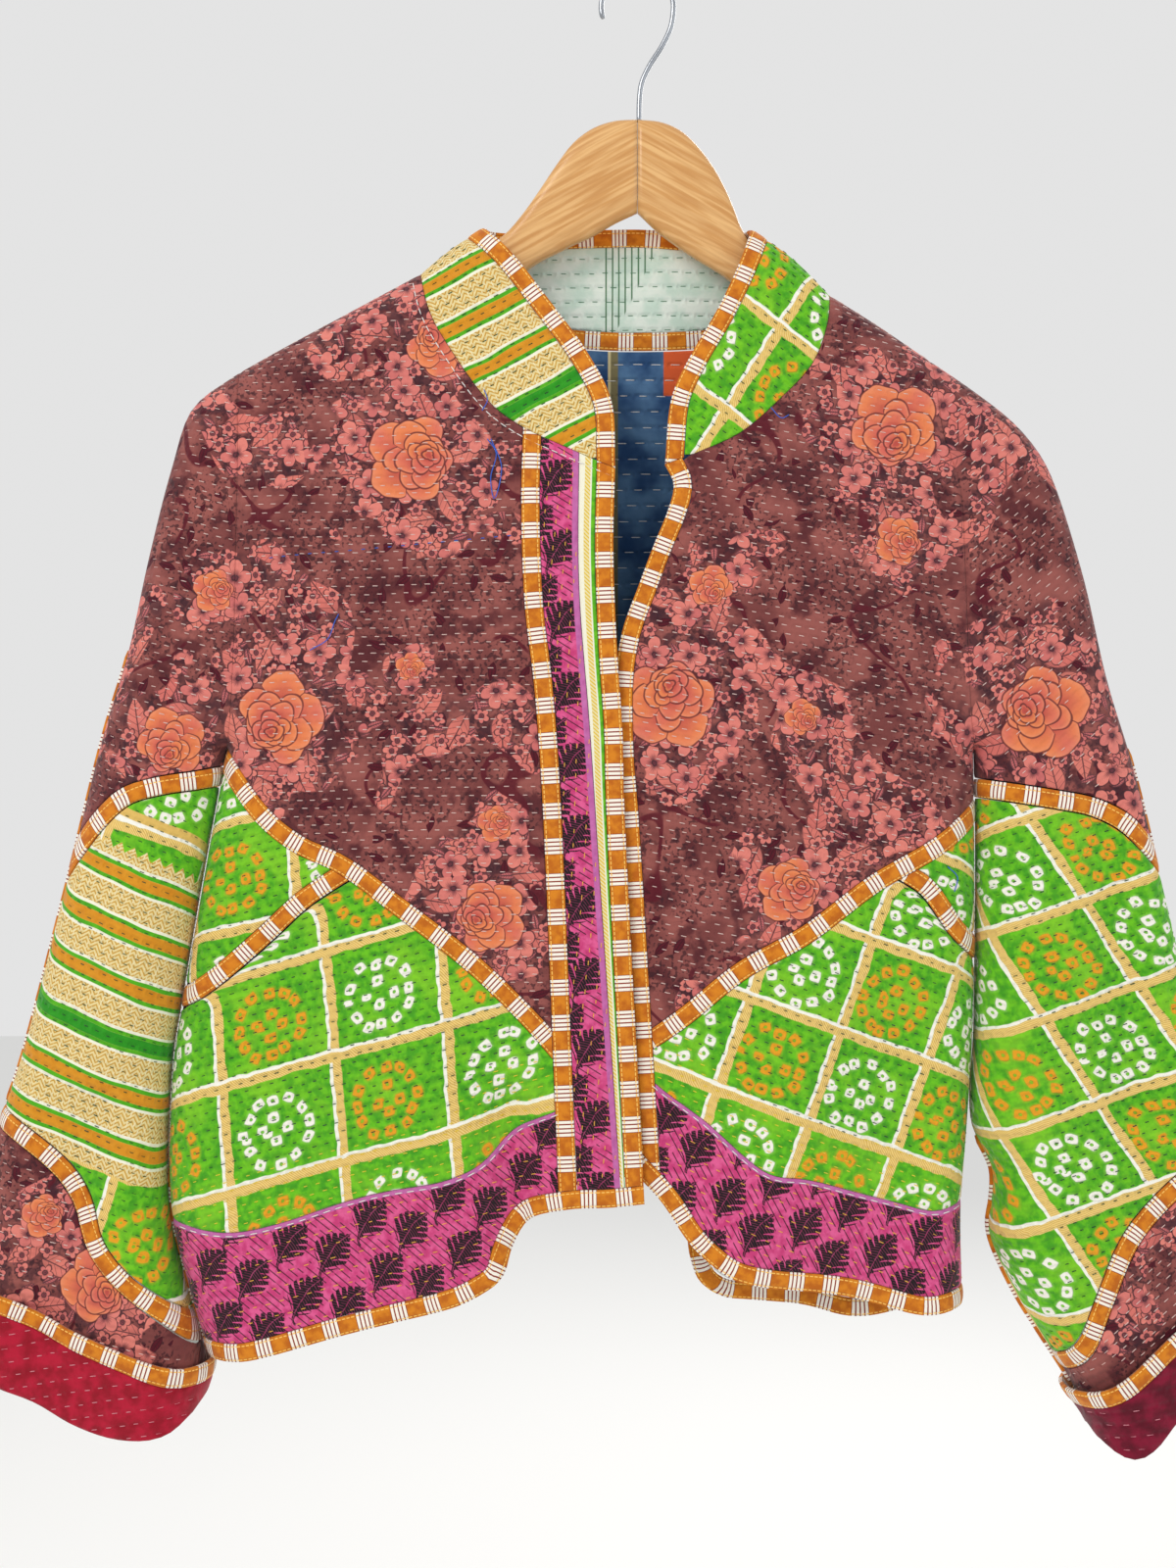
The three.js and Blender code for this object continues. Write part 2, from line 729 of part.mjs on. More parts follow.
add('hem_binding_left', panel({
  left: left.frontEdge,
  right: left.side,
  bottom: left.hem,
  top: left.hem.beside(bindingWidth),
  across: 14,
  along: 1,
  rolls: rolledRight,
}, { tucked: true, proud: bindingProud }), 'binding');

// Placket strips, side by side from the neck to the hem binding
const placketStrips = {
  placket_binding: [right.placket.beside(-edge), right.placket.beside(edge), 'binding', bindingProud],
  placket_pink: [right.placket.beside(beyondEdge), right.placketSplit.beside(-seamGap / 2), 'pink', 0],
  placket_green: [
    right.placketSplit.beside(seamGap / 2), right.frontEdge.beside(-beyondBinding), 'lattice', 0,
  ],
  edge_binding_right: [right.frontEdge.beside(-bindingWidth), right.frontEdge, 'binding', bindingProud],
};
for (const [name, [from, to, colour, proud]] of Object.entries(placketStrips)) {
  add(name, panel({
    left: from,
    right: to,
    bottom: right.hem.beside(beyondBinding),
    top: right.neck.beside(-seamGap / 2),
    across: 1,
    along: 8,
  }, { proud }), colour);
}

add('edge_binding_left', panel({
  left: left.frontEdge,
  right: left.frontEdge.beside(bindingWidth),
  bottom: left.hem.beside(beyondBinding),
  top: left.neck.beside(seamGap / 2),
  across: 1,
  along: 10,
}, { tucked: true, proud: bindingProud }), 'binding');

add('collar_right', panel({
  left: right.neck.beside(seamGap / 2),
  right: right.opening.beside(-beyondBinding),
  bottom: level(collarTip.right),
  top: right.collarSide,
  across: 4,
  along: 6,
  rolls: { top: true },
}), 'zigzag');

add('collar_left', panel({
  left: left.opening.beside(beyondBinding),
  right: left.neck.beside(-seamGap / 2),
  bottom: level(collarTip.left),
  top: left.collarSide,
  across: 4,
  along: 6,
  rolls: { top: true },
}, { tucked: true }), 'lattice');

add('collar_binding_right', panel({
  left: right.opening.beside(-bindingWidth),
  right: right.opening,
  bottom: right.neck.beside(seamGap / 2),
  top: right.collarSide,
  across: 1,
  along: 8,
  rolls: { top: true },
}, { proud: bindingProud }), 'binding');

add('collar_binding_left', panel({
  left: left.opening,
  right: left.opening.beside(bindingWidth),
  bottom: left.neck.beside(-seamGap / 2),
  top: left.collarSide,
  across: 1,
  along: 8,
  rolls: { top: true },
}, { tucked: true, proud: bindingProud }), 'binding');

// The back, from the hem up
const backNeckEdge = backNeck.beside(-beyondRound);
const backTop = cornered(cornered(right.shoulder.reversed(), backNeckEdge), left.shoulder);
const bothSides = { left: true, right: true };

add('back', panel({
  left: flank.right,
  right: flank.left,
  bottom: backHem.beside(bindingWidth + roundGap),
  top: backTop,
  across: 8,
  along: 10,
  rolls: { ...bothSides, top: true },
}, { face: back }), 'floral');

add('back_hem_binding', panel({
  left: right.side,
  right: left.side,
  bottom: backHem,
  top: backHem.beside(bindingWidth),
  across: 20,
  along: 1,
  rolls: bothSides,
}, { face: back, proud: bindingProud }), 'binding');

add('back_neck_binding', panel({
  left: topRight,
  right: topLeft,
  bottom: backNeck.beside(-edge),
  top: backNeck.beside(edge),
  across: 10,
  along: 1,
  rolls: bothSides,
}, { face: back, proud: bindingProud }), 'binding');

add('collar_back', panel({
  left: right.collarSide,
  right: left.collarSide,
  bottom: backNeck.beside(beyondEdge),
  top: backOpening.beside(-beyondBinding),
  across: 8,
  along: 3,
  rolls: bothSides,
}, { face: back }), 'mint');

add('collar_binding_back', panel({
  left: right.collarSide,
  right: left.collarSide,
  bottom: backOpening.beside(-bindingWidth),
  top: backOpening,
  across: 8,
  along: 1,
  rolls: bothSides,
}, { face: back, proud: bindingProud }), 'binding');

// Sleeves, as rings between the outer and inner edges
const sleeveRings = { across: 3 };

function addSleeve(side, half, inward, cuffColour) {
  const field = sleeveField(half, inward);
  const outline = (bottom, top, along) => rings({
    left: half.sleeveOuter, right: half.sleeveInner, bottom, top, along, ...sleeveRings,
  }, field);
  const bindingRings = (seam) => outline(seam.beside(-edge), seam.beside(edge), 1);

  const { armhole, seamUpper, seamLower, cuffTop, sleeveEnd } = half;
  add(`sleeve_upper_${side}`, tube(outline(
    seamUpper.beside(beyondRound), armhole.beside((-inward * roundGap) / 2), 4,
  )), 'floral');
  add(`sleeve_upper_binding_${side}`, tube(bindingRings(seamUpper), { proud: bindingProud }), 'binding');
  add(`sleeve_middle_${side}`, tube(outline(
    seamLower.beside(beyondRound), seamUpper.beside(-beyondRound), 6,
  )), side === 'right' ? 'zigzag' : 'lattice');
  add(`sleeve_lower_binding_${side}`, tube(bindingRings(seamLower), { proud: bindingProud }), 'binding');

  const cuffSplit = cuffTop.beside(-bindingWidth);
  const cuffRings = outline(sleeveEnd, cuffSplit, 2);
  const edgeRings = outline(cuffSplit, cuffTop, 1);
  const plainRings = outline(cuffTop, seamLower.beside(-beyondRound), 3);
  add(`sleeve_lower_${side}`, tube([...cuffRings, ...edgeRings.slice(1), ...plainRings.slice(1)]), 'floral');

  // The turned-up cuff stands further off toward its bound edge
  const standOff = (j, count) => cuffClear + (cuffStandOff * j) / count;
  const turned = (grid, from, count, trim) => {
    const clear = (j) => standOff(j + from, count);
    const outer = grid.map((row, j) => row.map((point) => offset(point, clear(j) + wall)));
    const inner = grid.map((row, j) => row.map((point) => offset(point, clear(j))));
    if (trim) {
      for (const layer of [outer, inner]) {
        const last = layer.length - 1;
        layer[last] = layer[last].map((point, i) => {
          const run = point.distanceTo(layer[last - 1][i]);
          return point.clone().lerp(layer[last - 1][i], seamGap / run);
        });
      }
    }
    return solid(outer, inner, true);
  };
  add(`cuff_${side}`, turned(cuffRings, 0, 3, true), cuffColour);
  add(`cuff_binding_${side}`, turned(edgeRings, 2, 3, false), 'binding');
}
addSleeve('right', right, 1, 'crimson');
addSleeve('left', left, -1, 'burgundy');

// Hanger arms, a row for each section from the middle out
const armSections = {
  right: table('x top bottom', [
    [-0.15, -83.2, -136], [-13, -84, -142], [-25, -88, -149], [-36, -96, -154], [-46, -109, -159],
    [-56, -124, -164], [-66, -138, -171], [-76, -149, -178], [-100, -165, -192], [-123, -180, -208],
    [-162, -201, -229], [-201, -222, -250], [-213, -231, -252], [-218, -238, -248],
  ]),
  left: table('x top bottom', [
    [0.15, -83.2, -136], [13, -84.5, -148], [24, -89, -156], [33, -97, -162], [43, -110, -168],
    [52, -127, -174], [60, -147, -182], [70, -161, -189], [88, -175, -204], [109, -192, -221],
    [136, -208.5, -238], [167, -229.5, -259], [193, -248, -272], [203, -257, -274], [206, -262, -271],
  ]),
};
const sectionSides = 12;
const armSquareness = 0.7;
const armTipShare = 0.6;

function hangerArm(sections) {
  const ring = ({ x, top, bottom }, grow) => {
    const points = [];
    for (let k = 0; k < sectionSides; k += 1) {
      const angle = (k / sectionSides) * 2 * Math.PI;
      const soft = (value) => Math.sign(value) * Math.abs(value) ** armSquareness;
      const y = (armThickness / 2) * grow * soft(Math.cos(angle));
      points.push(new THREE.Vector3(x, y, mix(bottom, top, (1 + soft(Math.sin(angle))) / 2)));
    }
    return points;
  };
  const last = sections.length - 1;
  const points = sections.flatMap((section, i) => ring(section, i === last ? armTipShare : 1));
  const triangles = [];
  for (let i = 0; i < last; i += 1) {
    for (let k = 0; k < sectionSides; k += 1) {
      const next = (k + 1) % sectionSides;
      const [a, b] = [i * sectionSides, (i + 1) * sectionSides];
      triangles.push(a + k, b + k, b + next, a + k, b + next, a + next);
    }
  }
  for (let k = 1; k < sectionSides - 1; k += 1) {
    const end = last * sectionSides;
    triangles.push(0, k, k + 1, end, end + k + 1, end + k);
  }
  return facingOut(points, triangles);
}
add('hanger_arm_right', hangerArm(armSections.right), 'wood', { roughness: 0.45 });
add('hanger_arm_left', hangerArm(armSections.left), 'wood', { roughness: 0.45 });

// The hook rises from the middle and turns over to an open end
function hook() {
  const shank = [[1, -82.9], [1.2, -72], [2.5, -62], [7, -52], [14, -41], [19, -30]];
  const points = shank.map(([x, z]) => new THREE.Vector3(x, 0, z));
  const turn = { from: 0, to: 205, step: 18 };
  for (let degrees = turn.from; degrees <= turn.to; degrees += turn.step) {
    const angle = THREE.MathUtils.degToRad(degrees);
    points.push(new THREE.Vector3(
      hookRadius * Math.cos(angle), 0, hookCentreZ + hookRadius * Math.sin(angle),
    ));
  }
  const path = new THREE.CatmullRomCurve3(points, false, 'centripetal');
  const section = new THREE.Shape();
  section.absarc(0, 0, wireRadius, 0, 2 * Math.PI);
  return new THREE.ExtrudeGeometry(section, { steps: 40, curveSegments: 4, extrudePath: path });
}
add('hook', hook(), 'steel', { roughness: 0.3, metalness: 1 });

export default jacket;
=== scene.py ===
import math
import random

import bpy
import numpy as np
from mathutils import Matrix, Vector
from mathutils.bvhtree import BVHTree
from mathutils.geometry import barycentric_transform


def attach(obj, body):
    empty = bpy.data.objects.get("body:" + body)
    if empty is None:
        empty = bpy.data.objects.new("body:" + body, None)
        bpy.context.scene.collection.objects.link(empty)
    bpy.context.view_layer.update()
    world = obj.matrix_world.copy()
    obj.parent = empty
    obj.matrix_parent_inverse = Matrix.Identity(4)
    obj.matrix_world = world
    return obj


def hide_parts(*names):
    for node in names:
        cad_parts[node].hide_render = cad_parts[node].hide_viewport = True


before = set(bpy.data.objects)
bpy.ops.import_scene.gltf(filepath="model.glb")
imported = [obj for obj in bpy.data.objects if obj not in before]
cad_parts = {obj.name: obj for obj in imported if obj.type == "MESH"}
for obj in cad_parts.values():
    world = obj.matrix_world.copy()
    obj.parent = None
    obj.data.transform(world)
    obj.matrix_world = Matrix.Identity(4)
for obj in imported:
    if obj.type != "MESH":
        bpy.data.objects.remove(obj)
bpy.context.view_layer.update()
dice = random.Random(11)

# Lengths in the tables are millimetres on the hanging plane: x to the wearer's left, z up
metre = 0.001
wall = 2.3
seamGap = 0.3
roundGap = 0.85
armholeGap = 0.15
bindingWidth = 10
bindingProud = 0.4
edgeSink = 0.45
edgeSinkReach = 3
cuffClear = 0.5
cuffStandOff = 3.5
cuffReach = {"cloth": (0, 0.66), "binding": (0.7, 1)}
cell = 4.0
front = -1
back = 1

depth = {
    "shoulder": 15,
    "front": 32,
    "back": 27,
    "sleeve": 8,
    "fullAt": 220,
    "sleeveFullAt": 150,
    "shoulderRoll": 22,
    "sideRoll": 28,
    "tuck": 5,
    "tuckWidth": 45,
}


def ease(t):
    t = np.clip(t, 0, 1)
    return t * t * (3 - 2 * t)


def mix(a, b, t):
    return a + (b - a) * t


# A new object around its data, put into the scene
def placed(name, data):
    thing = bpy.data.objects.new(name, data)
    bpy.context.scene.collection.objects.link(thing)
    return thing


# Camera, floor and light
def addCamera():
    data = bpy.data.cameras.new("camera")
    data.sensor_fit = "VERTICAL"
    data.sensor_height = 36
    data.lens = 46.5
    camera = placed("camera", data)
    camera.location = (-0.028, -1.150, -0.460)
    camera.rotation_euler = (math.pi / 2, 0, 0)
    bpy.context.scene.camera = camera


def addFloor():
    half = 6.0
    level = -1.35
    corners = [(-half, -half, level), (half, -half, level), (half, half, level), (-half, half, level)]
    mesh = bpy.data.meshes.new("floor")
    mesh.from_pydata(corners, [], [(0, 1, 2, 3)])
    material = bpy.data.materials.new("floor")
    material.use_nodes = True
    shader = material.node_tree.nodes["Principled BSDF"]
    shader.inputs["Base Color"].default_value = (0.86, 0.86, 0.85, 1)
    shader.inputs["Roughness"].default_value = 0.9
    mesh.materials.append(material)
    placed("floor", mesh)


def addLight(name, place, target, size, power, colour):
    data = bpy.data.lights.new(name, "AREA")
    data.shape = "DISK"
    data.size = size
    data.energy = power
    data.color = colour
    light = placed(name, data)
    light.location = place
    aim = Vector(target) - Vector(place)
    light.rotation_euler = aim.to_track_quat("-Z", "Y").to_euler()


def addWorld():
    world = bpy.data.worlds.new("studio")
    world.use_nodes = True
    background = world.node_tree.nodes["Background"]
    background.inputs["Color"].default_value = (0.90, 0.90, 0.90, 1)
    background.inputs["Strength"].default_value = 0.86
    bpy.context.scene.world = world
    bpy.context.scene.view_settings.view_transform = "Standard"


addCamera()
addFloor()
addWorld()
centre = (0, 0, -0.45)
addLight("keyLight", (-1.3, -1.6, 0.9), centre, 1.1, 20, (1.0, 0.97, 0.93))
addLight("fillLight", (1.9, -1.2, 0.1), centre, 1.6, 6, (0.94, 0.97, 1.0))
addLight("backLight", (0.8, 1.9, 0.8), centre, 1.6, 26, (1.0, 0.98, 0.95))
print("camera, floor and light")


# A line on the hanging plane, measured along its own length
class Line:
    def __init__(self, points):
        self.points = np.asarray(points, float)
        steps = np.hypot(*np.diff(self.points, axis=0).T)
        self.reach = np.concatenate([[0], np.cumsum(steps)])
        self.length = self.reach[-1]

    # Runs straight on past both ends
    def at(self, s):
        s = np.asarray(s, float)
        i = np.clip(np.searchsorted(self.reach, s) - 1, 0, len(self.points) - 2)
        t = (s - self.reach[i]) / (self.reach[i + 1] - self.reach[i])
        return mix(self.points[i], self.points[i + 1], t[..., None])

    # A line beside this one, d to the left of its travel
    def beside(self, d):
        last = len(self.points) - 1
        order = np.arange(last + 1)
        run = self.points[np.minimum(order + 1, last)] - self.points[np.maximum(order - 1, 0)]
        run = run / np.hypot(*run.T)[:, None]
        return Line(self.points + d * np.stack([-run[:, 1], run[:, 0]], 1))

    def then(self, other):
        return Line(np.concatenate([self.points, other.points[1:]]))

    def reversed(self):
        return Line(self.points[::-1])

    # The start of this line, as far as another
    def upTo(self, other):
        s = self.crossing(other)
        return Line(np.concatenate([self.points[self.reach < s - 1], [self.at(s)]]))

    # The rest of this line, on from another
    def onFrom(self, other):
        s = self.crossing(other)
        return Line(np.concatenate([[self.at(s)], self.points[self.reach > s + 1]]))

    # Where this line crosses another, both run on by a little
    def crossing(self, other, runOn=25):
        mine = np.concatenate([[self.at(-runOn)], self.points, [self.at(self.length + runOn)]])
        theirs = np.concatenate([[other.at(-runOn)], other.points, [other.at(other.length + runOn)]])
        u = np.diff(mine, axis=0)[:, None]
        v = np.diff(theirs, axis=0)[None]
        gap = theirs[None, :-1] - mine[:-1, None]
        cross = u[..., 0] * v[..., 1] - u[..., 1] * v[..., 0]
        cross[np.abs(cross) < 1e-9] = np.inf
        s = (gap[..., 0] * v[..., 1] - gap[..., 1] * v[..., 0]) / cross
        t = (gap[..., 0] * u[..., 1] - gap[..., 1] * u[..., 0]) / cross
        met = np.isfinite(cross) & (s >= 0) & (s <= 1) & (t >= 0) & (t <= 1)
        starts = np.concatenate([[-runOn], self.reach])
        ends = np.concatenate([[0], self.reach[1:], [self.length + runOn]])
        place = mix(starts[:, None], ends[:, None], s)
        past = np.maximum(np.maximum(-place, place - self.length), 0)
        past[:, 0] += 1
        past[:, -1] += 1
        past[~met] = np.inf
        best = np.unravel_index(np.argmin(past), past.shape)
        if not np.isfinite(past[best]):
            raise ValueError("Two outlines never meet")
        return place[best]

    # Distances to the line, negative across it from the inside, which is 1 for the left of its travel
    def distance(self, p, inside=1):
        start = self.points[:-1]
        run = np.diff(self.points, axis=0)
        size = (run ** 2).sum(1)
        rel = p[:, None] - start[None]
        t = np.clip((rel * run).sum(2) / size, 0, 1)
        off = rel - t[..., None] * run
        d = np.hypot(off[..., 0], off[..., 1])
        i = d.argmin(1)
        rows = np.arange(len(p))
        near = t[rows, i]
        pastEnd = ((i == 0) & (near == 0)) | ((i == len(start) - 1) & (near == 1))
        rel = rel[rows, i]
        side = (run[i, 0] * rel[:, 1] - run[i, 1] * rel[:, 0]) * inside
        return np.where(pastEnd | (side >= 0), 1, -1) * d[rows, i]


# A smooth line through the rows of a table, by centripetal Catmull-Rom curves
def smooth(rows, step=5):
    rows = np.asarray(rows, float)
    ends = np.concatenate([[2 * rows[0] - rows[1]], rows, [2 * rows[-1] - rows[-2]]])
    fine = []
    for a, b, c, d in zip(ends[:-3], ends[1:-2], ends[2:-1], ends[3:]):
        da, db, dc = (math.sqrt(math.dist(p, q)) for p, q in ((a, b), (b, c), (c, d)))
        inward = ((b - a) / da - (c - a) / (da + db) + (c - b) / db) * db
        outward = ((c - b) / db - (d - b) / (db + dc) + (d - c) / dc) * db
        t = np.linspace(0, 1, 25)[:-1, None]
        cubic = 2 * b - 2 * c + inward + outward
        square = -3 * b + 3 * c - 2 * inward - outward
        fine.append(b + inward * t + square * t ** 2 + cubic * t ** 3)
    path = Line(np.concatenate([*fine, rows[-1:]]))
    return Line(path.at(np.linspace(0, path.length, max(3, round(path.length / step) + 1))))


# The wearer's right is at -X. Lines run down unless noted.
right = {
    "collarSide": smooth([[-88, -145], [-106, -157], [-123, -171]]),
    "shoulder": smooth([[-123, -171], [-162, -192], [-201, -213], [-226, -227]]),
    "sleeveOuter": smooth([
        [-226, -227], [-252, -247], [-264, -281], [-277, -332], [-289, -387], [-302, -430],
        [-324, -519], [-349, -615], [-363, -659], [-371, -728], [-373, -785], [-373, -800],
    ]),
    "armhole": smooth([
        [-225, -226], [-224, -285], [-225, -330], [-226, -375], [-229, -428], [-232.5, -441],
    ]),
    "side": smooth([
        [-232.4, -441], [-238, -470], [-248, -526], [-258, -585], [-263, -617], [-264, -701],
        [-254, -744], [-242, -785],
    ]),
    "sleeveInner": smooth([
        [-233, -441], [-238.8, -470], [-249, -526], [-259, -585], [-264, -617], [-265, -701],
        [-255, -745], [-246, -783], [-248, -812],
    ]),
    "neck": smooth([
        [-123, -171], [-117, -195], [-106, -215], [-82, -248], [-63, -262], [-42, -272], [-11, -286],
    ]),
    "opening": smooth([[-88, -145], [-71, -162], [-50, -189], [-28, -220], [-15, -247], [-13, -284]]),
    "frontEdge": smooth([[-13, -284], [-14, -330], [-12, -385], [-9, -430], [-8, -470], [3, -688]]),
    "placketSplit": smooth([[-33, -270], [-33, -350], [-27, -430], [-21, -520], [-9.5, -690]]),
    "placket": smooth([[-59, -262], [-60, -300], [-58, -360], [-53, -403], [-49, -454], [-39, -690]]),
    "slant": smooth([
        [-232, -449], [-208, -479], [-190, -493], [-164, -505], [-135, -526], [-92, -559],
        [-60, -590], [-45, -607],
    ]),
    "pocket": smooth([
        [-160, -507], [-186, -524], [-208, -544], [-235, -567], [-250, -577], [-262, -582],
    ]),
    "bandTop": smooth([
        [-264, -705], [-227, -709], [-201, -704], [-147, -687], [-104, -677], [-86, -669],
        [-68, -651], [-44, -640],
    ]),
    "hem": smooth([
        [-242, -782], [-218, -780], [-165, -765], [-112, -751], [-88, -741], [-75, -732],
        [-70, -717], [-60, -701], [-39, -695], [-16, -694], [3, -692],
    ]),
    "seamUpper": smooth([[-313, -494], [-302, -481], [-286, -467], [-267, -461], [-247, -458], [-232, -455]]),
    "seamLower": smooth([
        [-361, -645], [-342, -656], [-320, -675], [-309, -693], [-303, -714], [-290, -732],
        [-259, -757], [-246, -769],
    ]),
    "cuffTop": smooth([[-373, -736], [-350, -745], [-314, -762], [-271, -779], [-258, -784], [-246, -785]]),
    "sleeveEnd": smooth([
        [-373, -786], [-357, -795], [-335, -803], [-313, -815], [-290, -822], [-268, -822],
        [-257, -818], [-249, -808],
    ]),
}

# The wearer's left is at +X. Lines run down unless noted.
left = {
    "collarSide": smooth([[65, -146], [88, -162], [109, -183]]),
    "shoulder": smooth([[109, -183], [136, -200], [167, -221]]),
    "sleeveOuter": smooth([
        [167, -221], [193, -239], [213, -255], [226, -270], [234, -284], [252, -340], [266, -401],
        [281, -451], [299, -525], [325, -635], [337, -673], [354, -733], [361, -765],
    ]),
    "armhole": smooth([
        [166, -222], [171, -263], [180, -293], [183, -343], [185, -402], [187, -428], [190.5, -441],
    ]),
    "side": smooth([[190.4, -441], [191, -492], [190, -596], [186, -660], [183, -700], [184, -754]]),
    "sleeveInner": smooth([
        [191, -441], [192, -492], [191.3, -596], [190, -652], [201, -678], [201, -694],
        [199, -712], [212, -744], [227, -769], [245, -797], [256, -818], [258, -826],
    ]),
    "neck": smooth([
        [109, -183], [106, -203], [98, -224], [79, -245], [57, -264], [33, -275], [14, -282],
    ]),
    "opening": smooth([[65, -146], [56, -170], [44, -195], [30, -219], [19, -243], [15, -282]]),
    "frontEdge": smooth([
        [15, -282], [20, -293], [16, -309], [9, -326], [0, -350], [-9, -375], [-13, -400],
        [-13, -440], [-10, -480], [2, -680],
    ]),
    "slant": smooth([
        [-4, -609], [21, -592], [57, -563], [94, -542], [131, -515], [163, -497], [176, -488],
        [190, -476],
    ]),
    "pocket": smooth([[146, -508], [160, -517], [170, -530], [178, -541], [192, -553]]),
    "bandTop": smooth([
        [-2, -616], [14, -630], [35, -645], [71, -674], [93, -678], [142, -692], [164, -697],
        [184, -694],
    ]),
    "hem": smooth([
        [2, -680], [13, -692], [28, -714], [40, -725], [51, -732], [71, -737], [114, -743],
        [156, -754], [184, -752],
    ]),
    "seamUpper": smooth([[190, -462], [217, -466], [236, -469], [256, -473], [272, -481], [287, -495]]),
    "seamLower": smooth([[237, -786], [246, -775], [258, -746], [273, -713], [293, -690], [333, -658]]),
    "cuffTop": smooth([[244, -798], [258, -795], [272, -785], [293, -766], [320, -744], [351, -719]]),
    "sleeveEnd": smooth([
        [257, -821], [263, -830], [275, -834], [286, -827], [300, -811], [333, -788], [362, -763],
    ]),
}

# Both run from the wearer's right to the left
backNeck = smooth([
    [-123, -171], [-95, -192], [-60, -201], [-5, -205], [50, -203], [85, -196], [109, -183],
])
backOpening = smooth([[-88, -145], [-38, -142], [0, -141], [35, -144], [65, -146]])
backHem = smooth([
    [-242, -783], [-218, -779], [-165, -763], [-112, -748], [-85, -731], [-64, -706], [-40, -693],
    [-10, -688], [12, -690], [24, -700], [29, -716], [31, -734], [37, -750], [50, -759], [68, -761],
    [97, -762], [124, -767], [150, -764], [184, -753],
])

# Soft ridges and troughs, each from a to b, on the front or back
foldColumns = ("face", "ax", "az", "bx", "bz", "width", "height")
folds = [
    (front, -95, -745, -120, -600, 22, 8),
    (front, -66, -715, -72, -640, 13, -9),
    (front, -200, -300, -150, -470, 26, 6),
    (front, -165, -720, -205, -560, 24, -5),
    (front, 120, -300, 70, -480, 26, 5),
    (front, 60, -740, 95, -570, 24, 7),
    (front, 140, -745, 150, -600, 22, -5),
    (front, -280, -470, -300, -620, 18, 5),
    (front, 262, -470, 276, -640, 15, -6),
    (front, -330, -760, -300, -640, 16, -4),
    (back, -170, -780, -120, -480, 30, 8),
    (back, -50, -760, -40, -500, 28, -7),
    (back, 60, -760, 40, -470, 30, 8),
    (back, 130, -760, 150, -560, 24, -6),
    (back, -120, -250, -170, -430, 30, 6),
    (back, 90, -260, 130, -430, 28, 6),
    (back, -270, -480, -310, -650, 18, 5),
    (back, 235, -480, 290, -660, 18, 5),
]
folds = [dict(zip(foldColumns, row)) for row in folds]
for fold in folds:
    fold["line"] = Line([[fold["ax"], fold["az"]], [fold["bx"], fold["bz"]]])


def topLine(half):
    return half["collarSide"].then(half["shoulder"]).then(half["sleeveOuter"])


# The places that each part of the cloth closes at, with the side that is inside
bodyField = {
    "tops": [(topLine(right), 1), (topLine(left), -1)],
    "sides": [(right["side"], 1), (left["side"], -1)],
    "beyond": None,
}


def sleeveField(half, inward):
    return {
        "tops": [(topLine(half), inward)],
        "sides": [(half["sleeveInner"], -inward)],
        "beyond": half["armhole"],
    }


def openness(distance, roll):
    return np.where(distance < roll, 1 - (1 - distance / roll) ** 2, 1)


# Square of half the garment's depth, at points of the hanging plane
def depthSquared(p, face, field, tucked):
    tops = [line.distance(p, inside) for line, inside in field["tops"]]
    sides = [line.distance(p, inside) for line, inside in field["sides"]]
    full = depth["front"] if face == front else depth["back"]
    half = mix(depth["shoulder"], full, ease(np.min(tops, axis=0) / depth["fullAt"]))
    if field["beyond"] is not None:
        beyond = np.abs(field["beyond"].distance(p))
        half = half + depth["sleeve"] * ease(beyond / depth["sleeveFullAt"])
    for fold in folds:
        if fold["face"] == face:
            away = fold["line"].distance(p) / fold["width"]
            half = half + fold["height"] * np.exp(-away ** 2)
    if tucked:
        edge = left["frontEdge"].points[::-1]
        fromEdge = p[:, 0] - np.interp(p[:, 1], edge[:, 1], edge[:, 0])
        half = half - depth["tuck"] * (1 - ease(fromEdge / depth["tuckWidth"]))
    opened = 1
    for distance in tops:
        opened = opened * openness(distance, depth["shoulderRoll"])
    for distance in sides:
        opened = opened * openness(distance, depth["sideRoll"])
    return opened * half * half


# Points of the cloth's outer surface over the plane, with the directions that face out
def clothPoints(p, face, field=bodyField, tucked=False, clear=0.0):
    h = 0.5
    shape = p.shape[:-1]
    p = p.reshape(-1, 2)

    def squared(dx, dz):
        return depthSquared(p + (dx, dz), face, field, tucked)

    y = np.sqrt(np.maximum(squared(0, 0), 0))
    slopeX = (squared(h, 0) - squared(-h, 0)) / (2 * h)
    slopeZ = (squared(0, h) - squared(0, -h)) / (2 * h)
    out = np.stack([-slopeX, 2 * face * y, -slopeZ], 1)
    out = out / np.linalg.norm(out, axis=1)[:, None]
    at = np.stack([p[:, 0], face * (y + np.broadcast_to(clear, y.shape)), p[:, 1]], 1)
    return at.reshape(*shape, 3), out.reshape(*shape, 3)


# Steps from 0 to 1, close together at seams and where the cloth rolls round an edge
def steps(size, rollStart=0.0, rollEnd=0.0, count=None):
    turns = 1 - np.cos(np.linspace(0, math.pi / 2, 10)[:-1])
    seam = np.array([0, 0.8, 2.2])

    def ending(roll):
        share = min(roll / size, 0.3)
        if share > 0:
            return turns * share
        return seam / size if size > 12 else np.array([0, 0.12, 0.26])

    head = ending(rollStart)
    tail = 1 - ending(rollEnd)[::-1]
    count = count or max(1, round((tail[0] - head[-1]) * size / cell))
    middle = np.linspace(head[-1], tail[0], count + 1)[1:-1]
    return np.concatenate([head, middle, tail])


def cornered(first, second):
    return first.upTo(second).then(second.onFrom(first))


